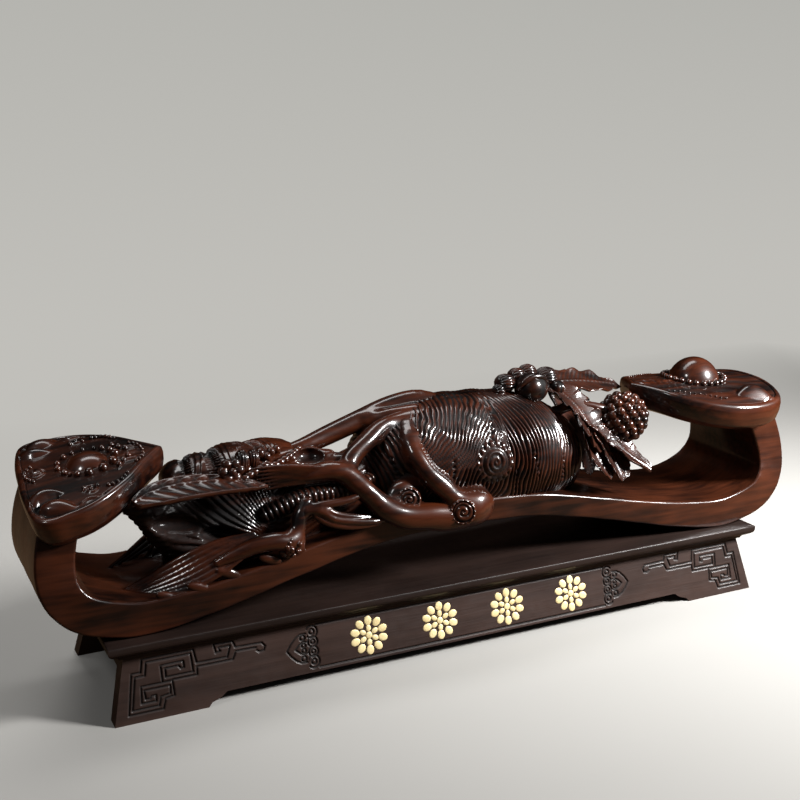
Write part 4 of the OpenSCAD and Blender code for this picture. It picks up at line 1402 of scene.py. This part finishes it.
@dataclass
class RootMass:
    """Mass of lesser roots left of the ginseng: folds that sweep down to the handle, and hollows.

    Folds lie evenly between the low one and the high one. Their lines fan out from a place given as x and
    height above the crown.
    """
    rings: Rows = ((-226, -2, 14, 11, 7), (-213, -3, 6, 20, 15), (-200, -4, -5, 26, 28),
                   (-178, -4, -6, 29, 31), (-150, -4, -4, 30, 32), (-120, -4, 0, 29, 29),
                   (-92, -4, 5, 27, 26), (-70, -4, 10, 24, 22), (-50, -4, 16, 18, 16))
    low_fold: Rows = ((-148, -47, -8, 0.9), (-164, -48, -11, 1.2), (-181, -47.5, -20, 2),
                      (-197, -46, -27, 2), (-213, -42, -31, 1.5), (-228, -36, -34, 1))
    high_fold: Rows = ((-158, -43, 1, 1), (-178, -40, -1, 1.4), (-196, -37, -7, 2.1),
                       (-212, -33, -15, 2.1), (-228, -28, -24, 1.7), (-244, -24, -32, 1))
    edge_bumps: Rows = ((-149, -48, -17), (-178, -47.5, -22), (-198, -47, -28.5), (-218, -45.5, -32))
    fan: Pair = (-137.0, -8.0)

    def core(self) -> Trunk:
        """Gives the plain core of the mass."""
        return Trunk(self.rings)

    @staticmethod
    def between(first: Rows, last: Rows, count: int) -> list[Stroke]:
        """Lays limbs from a first path to a last one, evenly spread."""
        a, b = np.asarray(first, float), np.asarray(last, float)
        return [Stroke((a + t * (b - a)).tolist(), 14) for t in np.linspace(0.0, 1.0, count)]

    def build(self) -> None:
        """Builds the mass with its folds and shoulder, hollowed under the leaf and by the ringed root."""
        folds = self.between(self.low_fold, self.high_fold, 7)
        rear = [Stroke([(x, -y - 6, z, r) for x, y, z, r in s.points], 12) for s in folds[::2]]
        bumps = [Lump(c, (9, 2.4, 3.4), -22.0) for c in self.edge_bumps]
        trunk = Stroke(((-233, -20, 24, 6), (-223, -20, 13, 7.5), (-214, -19, 3, 9.5), (-204, -18, -8, 11),
                        (-201, -16, -20, 12)))
        shoulder = Stroke(((-165, -10, 33, 8), (-140, -12, 37, 8.5), (-118, -13, 39, 8.5),
                           (-98, -17, 37, 8), (-84, -24, 34, 6.5)))
        cuts = [Lump((-178, -40, -1), (17, 17, 7), -14.0), Lump((-206, -38, 10), (22, 18, 9), -8.0),
                Lump((-113, -44, 21), (35, 19, 10), 3.0), Lump((-109, -22, 42), (9.5, 9, 5.5))]
        skin = Skin("root_mass")
        # The cave under the leaf gets painted shade through the shade field.
        Sculpt([self.core(), trunk, shoulder], [Bed()], cuts, soft=3.0, tight=8.0, margin=3.0, step=0.9,
               lines=self.flow, shade=self.cave_shade).add(skin)
        Sculpt(folds + rear + bumps, [self.core(), Bed()], soft=1.0, tight=0.5, margin=0.8,
               step=0.77).add(skin)
        skin.carve()

    @staticmethod
    def cave_shade(p: Array) -> Array:
        """Gives painted shade for the cave under the leaf: up to 0.8, fading out at its edges."""
        x, y, z = p[:, 0], p[:, 1], p[:, 2] - CROWN
        return 0.8 * ease((-158.0 - x) / 14.0) * ease((27.0 - z) / 6.0) * ease((-4.0 - y) / 8.0)

    def flow(self, p: Array) -> Array:
        """Gives the lines of the folds: a fan that sweeps left from the node limb, and slopes elsewhere."""
        x, y, z = p[:, 0], p[:, 1], p[:, 2] - CROWN
        drift = 0.4 * wander(101, x / 12.0, z / 10.0, y / 14.0)
        slope = ridges(z / 5.0 - 0.06 * (x + 150.0) + drift, 0.8)
        far = np.hypot(x - self.fan[0], z - self.fan[1])
        turn = np.arctan2(z - self.fan[1], self.fan[0] - x)
        spokes = ridges(11.0 * turn - 0.07 * far + 1.1 * drift, 0.9)
        share = ease((82.0 - far) / 20.0) * ease((self.fan[0] + 4.0 - x) / 8.0) * ease(-(y + 2.0) / 10.0)
        lines = share * 1.7 * (spokes - 0.65) * ease(far / 16.0) + (1.0 - share) * 1.1 * (slope - 0.7)
        return lines + 0.4 * wander(102, x / 7.0, z / 6.0, y / 7.0)


@dataclass
class LeftGroup:
    """Leaf, reishi caps and flower buds at the left end of the carving.

    A cap is its middle above the crown of the handle, then its half lengths.
    """
    leaf: Rows = ((-235, -42, 31.5, 5), (-222, -37, 33, 12), (-204, -34, 34.5, 14.5),
                  (-181, -33.5, 34, 12.5), (-163, -37, 32.5, 8), (-147, -42, 31.5, 1.2))
    caps: Rows = ((-194, 8, 29.5, 12, 18, 12), (-180, 1, 33, 14, 22, 13.5), (-158, -2, 38.5, 19, 24, 13.5),
                  (-132, 5, 38.5, 24, 21, 11.5))

    def build(self) -> None:
        """Builds the leaf, the caps with their hatched creases, and the buds."""
        leaf = Skin("left_leaf")
        leaf.leaf(self.leaf, (0, -0.3, 0.95), pitch=10.5, teeth=0.0, camber=0.14, thick=3.4, rib=1.4,
                  spine=0.42, crisp=0.9, rim=0.9)
        leaf.carve()
        caps = Sculpt(self.lobes(), tight=1.2, margin=2.0, step=0.46, relief=self.hatch)
        caps.add(Skin("reishi_caps")).carve()
        self.buds()

    def lobes(self) -> list[Lump]:
        """Lists the caps as lumps from left to right."""
        return [Lump(row[:3], row[3:]) for row in self.caps]

    def hatch(self, p: Array) -> Array:
        """Gives the carving of the caps: short strokes across each crease, and rings along it beyond."""
        high = 0.25 * wander(205, p[:, 0] / 4.0, p[:, 1] / 4.0, p[:, 2] / 4.0)
        for cap, row in zip(self.lobes()[:-1], self.caps):
            off = cap.distance(p)
            turn = np.arctan2(p[:, 1] - row[1], p[:, 2] - CROWN - row[2])
            beyond = p[:, 0] > row[0]
            high = high + beyond * 2.0 * bump(off - 3.2, 2.6) * (ridges(turn * 28.0 / np.pi, 1.0) - 0.45)
            rings = beyond * 0.3 * np.cos(off * 2.1) * ease((off - 4.0) / 2.0)
            high = high + rings * ease((15.0 - off) / 4.0)
        return high

    def buds(self) -> None:
        """Builds the petals round an eye, two striped buds, knobs and a wavy ridge before the caps."""
        buds = Skin("flower_buds")
        for k in range(6):
            t = TURN * k / 6.0
            place = (-167 + 5.6 * math.cos(t), -27 + 1.2 * math.sin(t), CROWN + 41 + 5.2 * math.sin(t))
            buds.egg(place, (3.8, 3.0, 3.4), (24, 36),
                     lambda b, a: 0.5 * (ridges(a * 3.5 / np.pi, 0.7) - 0.7) * np.sin(b))
        buds.balls(np.array([[-167.0, -30.0, CROWN + 41.0]]), np.array([2.6]))

        def striped(b: Array, a: Array) -> Array:
            """Gives wavy rings round a bud."""
            return 0.9 * (ridges(b * 8.0 / np.pi + 0.15 * np.sin(2.0 * a), 0.7) - 0.7) * np.sin(b)

        for x, y, z, rx, ry, rz in ((-158, -22, 44, 5.4, 6.0, 9.0), (-150, -21, 45, 4.6, 5.6, 7.0)):
            buds.egg((x, y, z + CROWN), (rx, ry, rz), (44, 64), striped)
        buds.balls(carved([(-144, -19, 48), (-139.5, -20, 45.5), (-136, -18, 48), (-131, -16, 48.5),
                           (-146, -23, 41)]), np.array([3.6, 3.0, 3.2, 3.0, 2.8]))
        rope = ((-172, -29, 33, 1.8), (-160, -30, 35, 2.2), (-152, -28, 38, 2.4), (-143, -26, 41, 2.6),
                (-136, -25, 40, 2.4), (-129, -23, 42, 2.6), (-121, -20, 45, 2.2), (-113, -14, 47, 1.6))
        buds.tube(rope, 120, 24, lambda s, a: 0.6 * (ridges(s / 4.2 + 0.2 * np.sin(a), 0.8) - 0.7))
        buds.carve()


@dataclass
class CrownGroup:
    """Bud, leaves and berry cluster at the right end of the ginseng root.

    A petal is its middle above the crown of the handle, its half lengths, and its ribs, 0 for rings.
    """
    front: Rows = ((90, -4, 68, 5), (101, -11, 63, 12), (109, -20, 54.5, 17), (115, -28, 43, 20),
                   (120, -34, 31, 18), (124, -38, 22, 11))
    left_lobe: Rows = ((112, -33, 38, 8), (115.5, -39, 24, 13), (120.5, -44, 12, 12), (127, -47, 2, 5))
    mid_lobe: Rows = ((122, -31, 36, 8), (130.5, -36, 22, 13), (135.5, -42, 9, 13), (139, -46, -2, 6))
    side: Rows = ((106, -12, 55, 6), (120, -22, 43, 13), (132, -29, 31, 14), (141, -34.5, 22, 13.5),
                  (151, -40, 12.5, 11), (164, -46, 2, 4))
    rear: Rows = ((93, 4, 66, 5), (110, 8, 65.5, 12), (130, 10, 64, 14), (152, 14, 60, 13),
                  (172, 20, 55, 6), (182, 22, 52, 1.2))
    droop: Rows = ((104, 6, 63, 8), (117, 8, 51, 18), (129, 10, 36, 22), (138, 11, 19, 21),
                   (145, 12, 1, 15), (150, 12, -15, 4))
    petals: Rows = ((58, -1, 72, 8, 8.5, 7, 8), (51, -4, 67, 5, 6, 5.5, 6), (71, 4, 75, 7, 7.5, 6.5, 7),
                    (82, 6, 76.5, 7.5, 7.5, 6.5, 8), (97, 3, 72.5, 9.5, 9, 7.5, 10),
                    (101, -7, 65.5, 6, 6.5, 5.5, 0))
    cluster: Triple = (154.0, -20.0, 39.0)
    cluster_radius: float = 21.0
    berry_count: int = 92

    def build(self) -> None:
        """Builds the bud, the leaves, the stalk and the berries."""
        bud = Skin("crown_bud")
        bud.egg((77.5, -7, 67.5 + CROWN), (13, 12.5, 12), (60, 72),
                lambda b, a: 0.3 * np.cos(5.0 * b) * np.sin(b))
        bud.tube(((63.5, -11, 69, 1.4), (67, -13, 74, 2.2), (74, -13.5, 77.5, 2.6), (82, -13, 77, 2.4),
                  (88, -11.5, 73, 1.8), (91, -10, 68, 1.2)), 80, 20)
        for x, y, z, rx, ry, rz, ribs in self.petals:
            def ribbed(b: Array, a: Array, count: int = ribs) -> Array:
                """Gives ribs that run from pole to pole of a petal, or rings where it has no ribs."""
                if not count:
                    return 0.25 * np.cos(6.0 * b)
                return 0.9 * (ridges(a * count / np.pi, 0.7) - 0.7) * np.sin(b)
            bud.egg((x, y, z + CROWN), (rx, ry, rz), (48, 96), ribbed)
        bud.carve()
        front = Skin("front_leaf")
        front.leaf(self.front, (0.31, -0.65, 0.7), pitch=2.1, teeth=0.24, camber=0.32, thick=2.4, rib=0.7,
                   spine=0.1, tooth=9.0, wave=1.2)
        for lobe in (self.left_lobe, self.mid_lobe):
            front.leaf(lobe, (0.3, -0.75, 0.6), pitch=1.9, teeth=0.16, camber=0.34, thick=2.2, rib=0.6,
                       wave=0.6)
        front.carve()
        side = Skin("side_leaf")
        side.leaf(self.side, (0.35, -0.55, 0.75), pitch=2.0, teeth=0.16, camber=0.32, thick=2.2, rib=0.7,
                  tooth=6.0, wave=0.8)
        side.carve()
        rear = Skin("rear_leaf")
        rear.leaf(self.rear, (0.1, -0.45, 0.85), pitch=4.5, teeth=0.1, camber=0.2, thick=2.6, rib=0.5,
                  spine=0.1, tooth=14.0, wave=1.4)
        rear.leaf(self.droop, (0.35, -0.85, 0.35), pitch=3.0, teeth=0.25, camber=0.2, thick=2.4, rib=0.6,
                  tooth=9.0, wave=1.2)
        rear.carve()
        stalk = Skin("berry_stalk")
        path = ((94, -5, 44, 4.5), (114, -11, 51, 4), (134, -17, 48, 4), (150, -20, 40, 4))
        stalk.tube(path, 70, 28, fluted(5, 0.6, 301))
        stalk.carve()
        self.berries()

    def berries(self) -> None:
        """Builds the cluster: berries set round a core on a golden-angle spiral."""
        skin = Skin("berry_cluster")
        centre = np.asarray(self.cluster) + [0.0, 0.0, CROWN]
        r = self.cluster_radius
        skin.egg(centre, (0.84 * r, 0.76 * r, 0.84 * r), (24, 32))
        k = np.arange(self.berry_count) + 0.5
        polar, turn = np.arccos(1.0 - 2.0 * k / self.berry_count), np.pi * (1.0 + 5.0 ** 0.5) * k
        way = np.stack([np.cos(turn) * np.sin(polar), 0.9 * np.sin(turn) * np.sin(polar),
                        np.cos(polar)], -1)
        skin.balls(centre + (r - 3.2) * way, np.full(self.berry_count, 3.6))
        skin.carve()


@dataclass
class Stand:
    """Long stand: moulded board on leaning aprons with feet, the front one carved.

    An apron leans in by a distance over its height, and a foot starts at a distance from the middle. The
    board is length, depth and thickness.
    """
    length: float = 520.0
    depth: float = 127.0
    apron: float = 42.0
    thick: float = 12.0
    lean: float = 9.5
    foot_rise: float = 8.0
    foot_in: float = 198.0
    board: Triple = (523.0, 127.0, 11.5)
    motif_height: float = 25.0
    groove: float = 0.9

    def facing(self) -> Array:
        """Gives the direction that the leaning front apron faces."""
        return unit(np.array([0.0, -self.apron, self.lean]))

    def build(self) -> None:
        """Builds the board, the front apron and its gold motifs, and dresses the nodes that stay."""
        self.top_board()
        self.front_apron()
        self.motifs()
        for name in ("rear_apron", "left_end_rail", "right_end_rail"):
            dress(name, SATIN)
        for name in ("corner_blocks", "glue_strips", "locating_pegs", "head_dowels", "root_dowels"):
            dress(name, PLAIN)
        dress("strip_screws_set", Metal())

    def top_board(self) -> None:
        """Builds the board: its moulding carried round an oblong with close corners."""
        lx, ly, thick = self.board[0] / 2.0, self.board[1] / 2.0, self.board[2]
        profile = smooth_path([[-8.0, 0.0], [-7.4, 1.4], [-6.0, 2.6], [-3.4, 4.0], [-1.2, 5.6],
                               [-0.3, 7.0]], 14)
        fillet = np.array([[-0.3, 7.5], [0.0, 7.8], [0.0, 9.4], [0.0, 10.9], [-0.2, 11.3], [-0.6, 11.5]])
        section = np.vstack([profile, fillet])
        inset = np.r_[-62.0, -40.0, section[:, 0], -3.0, -4.0, -12.0, -40.0, -62.0]
        high = np.r_[0.0, 0.0, section[:, 1], np.full(5, thick)] + self.apron
        u = np.linspace(-1.0, 1.0, 40, endpoint=False)
        w = np.linspace(-1.0, 1.0, 12, endpoint=False)
        sx = np.r_[u, np.ones(len(w)), -u, -np.ones(len(w))]
        sy = np.r_[-np.ones(len(u)), w, np.ones(len(u)), -w]
        grid = np.stack([(lx + inset)[:, None] * sx, (ly + inset)[:, None] * sy,
                         np.broadcast_to(high[:, None], (len(high), len(sx)))], -1)
        skin = Skin("stand_board")
        skin.rings(grid)
        # The board takes the darker copy of the satin finish, as painted shade.
        obj = skin.build(SATIN_SHADED, Body.STAND, Slot.STAND, ["top_board"])
        obj.data.set_sharp_from_angle(angle=math.radians(38.0))

    @staticmethod
    def fret() -> list[Array]:
        """Draws the incised lines of the left half of the front apron, as x and height.

        A band of two lines turns into two square spirals, and a tail ends in a curl.
        """
        left = [
            [(-250.5, 5.5), (-246.5, 31), (-240.5, 31), (-239, 39), (-205, 39), (-203.5, 30),
             (-182.5, 29.8), (-180, 36.7), (-188, 36.7), (-187, 34.5), (-190, 33.8), (-191, 39.5),
             (-178, 39.3), (-176.5, 35), (-158, 34.5), (-156, 32), (-157, 29.5), (-160, 29), (-162, 30.2)],
            [(-203.5, 27.5), (-179, 27.5), (-176.5, 32.3), (-162.5, 32.2)],
            [(-248, 8), (-244.5, 28.5), (-238, 28.5), (-236.5, 36.6), (-207, 36.6), (-206.3, 25),
             (-224.5, 25), (-224.5, 30.5), (-215.5, 30.5), (-214, 28.5), (-212, 29), (-212.3, 33),
             (-227.3, 32.8), (-227, 22.5)],
            [(-203.5, 27.5), (-203.8, 22.5), (-220.5, 22.5)],
            [(-241, 22), (-220.5, 22), (-220, 12.5), (-226, 11.5), (-228, 5.5), (-250.5, 5.5)],
            [(-248, 8), (-230.5, 8), (-229, 13.3), (-222.5, 14.2), (-222.2, 19.3), (-239.3, 19.3),
             (-238.8, 13.6), (-236, 13.6), (-234.8, 15), (-232, 15), (-232, 11.3), (-241.7, 11.3),
             (-241, 22)]]
        return [np.array(line, float) for line in left]

    def front_apron(self) -> None:
        """Builds the apron: a leaning board whose face is cut by frets, hearts and a border line.

        The face is a grid of height and length, close where the ornament is; each groove is a bell of the
        distance to the nearest line of the ornament.
        """
        lx, front = self.length / 2.0, self.depth / 2.0
        x = np.r_[np.linspace(-1.0, -0.44, 356), np.linspace(-0.43, 0.43, 100), np.linspace(0.44, 1.0, 356)]
        v = np.linspace(0.0, 1.0, 104)
        places = [0.0, *(self.foot_in - np.array([12.0, 8.0, 2.0, 0.01, 0.0])), lx]
        rises = [self.foot_rise, self.foot_rise, 0.6 * self.foot_rise, 0.35 * self.foot_rise, 0.1, 0.0, 0.0]
        foot = np.interp(np.abs(x * lx), places, rises)
        z = foot[None, :] + (self.apron - foot[None, :]) * v[:, None]
        px = x[None, :] * (lx - self.lean * z / self.apron)
        y = -(front - self.lean * z / self.apron)
        near = np.full(z.shape, FAR)
        for line in self.fret():
            near = np.minimum(near, to_line(-np.abs(px), z, line))
        near = np.minimum(near, self.heart(141.0 - np.abs(px), np.abs(z - self.motif_height)))
        border = np.minimum(np.abs(z - 10.6), np.abs(z - 39.4)) + FAR * (np.abs(px) > 119.0)
        groove = -self.groove * bump(np.minimum(near, border), 0.6)
        face = np.stack([px, y, z], -1) + groove[..., None] * self.facing()
        back = np.stack([px, y + self.thick, z], -1)[[-1, 70, 35, 0]]
        over, below = back[:1] * 0.5 + face[-1:] * 0.5, back[-1:] * 0.5 + face[:1] * 0.5
        grid = np.concatenate([face, over, back, below])
        # Painted shade in the incised grooves of the face.
        deep = np.concatenate([held(-groove / self.groove), np.zeros((len(grid) - len(face), len(x)))])
        skin = Skin("front_apron")
        skin.rings(grid.transpose(1, 0, 2), deep.T)
        obj = skin.build(SATIN, Body.STAND, Slot.STAND, ["front_apron"])
        obj.data.set_sharp_from_angle(angle=math.radians(50.0))

    @staticmethod
    def heart(x: Array, z: Array) -> Array:
        """Gives the distance to the lines of a lying heart: point, curls behind it and a small heart.

        Args:
            x: Distance from the point towards the curls.
            z: Distance from the middle line.

        Returns:
            The distance in mm.
        """
        large = np.array([(0.0, 0.0), (3.0, 4.2), (6.5, 7.6), (10.0, 9.4), (14.0, 9.6)])
        small = np.array([(6.0, 0.0), (9.0, 2.6), (12.0, 4.4), (15.0, 3.6)])
        near = np.minimum(to_line(x, z, large), to_line(x, z, small))
        for cx, cz, r, gap in ((18.6, 10.0, 4.2, 3.4), (18.8, 10.0, 1.7, 9.0), (19.0, 3.3, 3.4, 9.0),
                               (19.0, 3.3, 1.4, 9.0), (11.8, 7.0, 1.7, 9.0), (12.2, 1.8, 1.4, 9.0)):
            off = np.hypot(x - cx, z - cz)
            near = np.minimum(near, np.abs(off - r) + 9.0 * (cx - x > gap))
        return near

    def motifs(self) -> None:
        """Builds four gold-filled rosettes in a row on the middle of the front apron.

        Each has a round eye, six inner petals and ten outer ones; a petal is a low cushion on an ellipse
        that points away from the eye.
        """
        skin = Skin("gold_rosettes")
        for cx in (-80.0, -24.0, 32.0, 88.0):
            self.cushion(skin, cx, turn=0.0, far=0.0, long=2.6, wide=2.6)
            for count, far, long, wide in ((6, 5.3, 2.6, 2.0), (10, 11.0, 3.6, 2.9)):
                for k in range(count):
                    self.cushion(skin, cx, TURN * (k + 0.5) / count, far, long, wide)
        skin.build(Gilding(), Body.STAND, Slot.STAND)

    def cushion(self, skin: Skin, cx: float, turn: float, far: float, long: float, wide: float) -> None:
        """Adds one low cushion of gold at a distance and direction from the middle of its rosette."""
        way = self.facing()
        along = unit(np.array([0.0, self.lean, self.apron]))
        front = self.depth / 2.0 - self.lean * self.motif_height / self.apron
        centre = np.array([cx, -front, self.motif_height])
        r, a = disc(0.05, 10, 40)
        u, w = far + r * long * np.cos(a), r * wide * np.sin(a)
        px, pz = u * math.cos(turn) - w * math.sin(turn), 0.94 * (u * math.sin(turn) + w * math.cos(turn))
        top = centre + px[..., None] * np.array([1.0, 0.0, 0.0]) + pz[..., None] * along
        top = top + 0.55 * np.sqrt(held(1.0 - r ** 2))[..., None] * way
        skin.rings(np.concatenate([top, top[-1:] - 0.6 * way]))


def dress(node: str, finish: Coating) -> None:
    """Puts a finish on a node that stays as packed."""
    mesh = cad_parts[node].data
    mesh.materials.clear()
    mesh.materials.append(finish.material())
    LOG.info("%s: keeps its packed shape", node)


@dataclass(frozen=True)
class Lamp:
    """Soft oblong lamp: place, aim and size in metres, power in watts and spread in degrees."""
    name: str
    place: Triple
    aim: Triple
    size: Pair
    power: float
    spread: float
    mirrored: bool = True

    def hang(self) -> None:
        """Hangs the lamp and turns it to its aim."""
        data = bpy.data.lights.new(self.name, "AREA")
        data.shape = "RECTANGLE"
        data.size, data.size_y = self.size
        data.energy = self.power
        data.spread = math.radians(self.spread)
        lamp = bpy.data.objects.new(self.name, data)
        lamp.location = self.place
        lamp.visible_glossy = self.mirrored
        x, y, z = np.subtract(self.aim, self.place)
        tilt = math.acos(-z / np.linalg.norm((x, y, z)))
        lamp.rotation_euler = (tilt, 0.0, math.atan2(y, x) - math.pi / 2.0)
        bpy.context.scene.collection.objects.link(lamp)


@dataclass
class Studio:
    """Pale floor and wall, soft lamps and the camera."""
    floor: Triple = (0.33, 0.321, 0.304)
    bounce: Triple = (0.09, 0.055, 0.03)
    wall: Triple = (0.53, 0.52, 0.49)
    wall_top: Triple = (0.4, 0.4, 0.375)
    sky: Triple = (0.9, 0.92, 0.95)
    sky_power: float = 0.055
    lens: float = 54.2
    camera_place: Triple = (-0.4023, -0.765, 0.3855)
    camera_tilt: float = 76.15
    camera_turn: float = -26.1
    lamps: tuple[Lamp, ...] = (
        Lamp("key_lamp", (0.85, -0.62, 0.72), (0.3, 0.0, 0.1), (0.24, 0.24), 10.3, 76.0),
        Lamp("left_lamp", (-1.1, -0.35, 1.25), (-0.1, 0.0, 0.12), (0.2, 0.22), 0.9, 75.0),
        Lamp("back_lamp", (0.0, 0.5, 1.7), (0.0, 0.0, 0.15), (1.6, 0.36), 4.8, 110.0),
        Lamp("rear_fill", (0.2, 1.4, 0.9), (0.0, 0.0, 0.1), (0.8, 0.6), 6.5, 120.0, mirrored=False))

    def build(self) -> None:
        """Builds the sweep of floor and wall, the lamps, the world and the camera."""
        self.sweep()
        for lamp in self.lamps:
            lamp.hang()
        self.world()
        self.camera()
        bpy.context.scene.view_settings.view_transform = "Standard"

    def sweep(self) -> None:
        """Builds the floor that curves up into a wall behind the object."""
        profile = smooth_path([[-2.6, 0.0], [-1.0, 0.0], [0.6, 0.0], [1.3, 0.0], [1.62, 0.1], [1.74, 0.42],
                               [1.76, 1.2], [1.76, 2.6]], 90)
        x = np.linspace(-3.4, 3.4, 24)
        shape = (len(profile), len(x))
        grid = np.stack([np.broadcast_to(v, shape) for v in (x, profile[:, :1], profile[:, 1:])], -1)
        index = np.arange(len(profile) * len(x)).reshape(shape)
        quads = np.stack([index[:-1, :-1], index[:-1, 1:], index[1:, 1:], index[1:, :-1]], -1)
        mesh = bpy.data.meshes.new("studio_sweep")
        mesh.from_pydata(grid.reshape(-1, 3).tolist(), [], quads.reshape(-1, 4).tolist())
        mesh.polygons.foreach_set("use_smooth", np.ones(len(mesh.polygons), bool))
        mesh.materials.append(self.paper())
        obj = bpy.data.objects.new("studio_sweep", mesh)
        bpy.context.scene.collection.objects.link(obj)

    def paper(self) -> bpy.types.Material:
        """Makes the paper: pale and matt round the object, and farther off a grey that glows for the
        camera, with painted falloff that darkens it towards the top.
        """
        made = bpy.data.materials.new("studio_paper")
        made.use_nodes = True
        tree = made.node_tree
        wires = Wires(tree)
        place = wires.new("TexCoord").outputs["Object"]
        apart = wires.fill(wires.new("SeparateXYZ"), {"Vector": place})
        # Painted falloff: the glow goes from the wall colour to the darker top colour over the first 1.15 m
        # of height.
        rise = wires.limit(wires.maths("DIVIDE", apart.outputs["Z"], 1.15))
        glow = wires.fill(wires.new("Emission"), {"Color": wires.mix(rise, self.wall, self.wall_top)})
        seen = wires.new("LightPath").outputs["Is Camera Ray"]
        floor = wires.fill(tree.nodes["Principled BSDF"],
                           {"Base Color": wires.mix(seen, self.bounce, self.floor), "Roughness": 0.9,
                            "Specular IOR Level": 0.1})
        reach = wires.fill(wires.new("VectorMath"), {"Vector": place})
        reach.operation = "LENGTH"
        depth = wires.maths("DIVIDE", wires.maths("SUBTRACT", apart.outputs["Y"], 0.25), 0.5)
        far = wires.maths("DIVIDE", wires.maths("SUBTRACT", reach.outputs["Value"], 0.75), 0.5)
        back = wires.limit(wires.maths("MAXIMUM", depth, far))
        wires.cross(wires.times(seen, back), floor, glow, tree.nodes["Material Output"])
        return made

    def world(self) -> None:
        """Sets a dim even world that looks pale to the camera."""
        world = bpy.data.worlds.new("studio_world")
        world.use_nodes = True
        tree = world.node_tree
        wires = Wires(tree)
        dim = wires.fill(tree.nodes["Background"], {"Color": (*self.sky, 1.0), "Strength": self.sky_power})
        pale = wires.fill(wires.new("Background"), {"Color": (*self.wall, 1.0)})
        seen = wires.new("LightPath").outputs["Is Camera Ray"]
        wires.cross(seen, dim, pale, tree.nodes["World Output"])
        bpy.context.scene.world = world

    def camera(self) -> None:
        """Places the camera where the photograph was taken from."""
        data = bpy.data.cameras.new("camera")
        data.sensor_width = 36.0
        data.lens = self.lens
        cam = bpy.data.objects.new("camera", data)
        cam.location = self.camera_place
        cam.rotation_euler = (math.radians(self.camera_tilt), 0.0, math.radians(self.camera_turn))
        bpy.context.scene.collection.objects.link(cam)
        bpy.context.scene.camera = cam


def main() -> None:
    """Builds the studio, the stand and the ruyi."""
    logging.basicConfig(level=logging.INFO, format="%(name)s %(message)s")
    Studio().build()
    Stand().build()
    Handle().build()
    LeftHead("left_head", (-206.0, 0.0, 165.0), length=94.0, width=128.0, slope=8.5, roll=7.5, turn=174.0,
             droop=5.0, swell=1.8,
             outline=((0, 0), (0.13, 0.25), (0.29, 0.57), (0.46, 0.8), (0.6, 0.92), (0.72, 0.97), (0.83, 1),
                      (0.92, 0.95), (0.97, 0.78), (1, 0.34), (1, 0))).build()
    RightHead("right_head", (175.0, 0.0, 168.5), length=121.0, width=124.0, slope=2.0, roll=0.0, turn=0.0,
              droop=13.0, swell=2.0,
              outline=((0, 0), (0.13, 0.54), (0.29, 0.82), (0.46, 0.96), (0.6, 1), (0.72, 0.99),
                       (0.83, 0.94), (0.92, 0.83), (0.97, 0.64), (1, 0.35), (1, 0))).build()
    GinsengRoot().build()
    RootLimbs().build()
    RootMass().build()
    LeftGroup().build()
    CrownGroup().build()


if __name__ == "__main__":
    main()
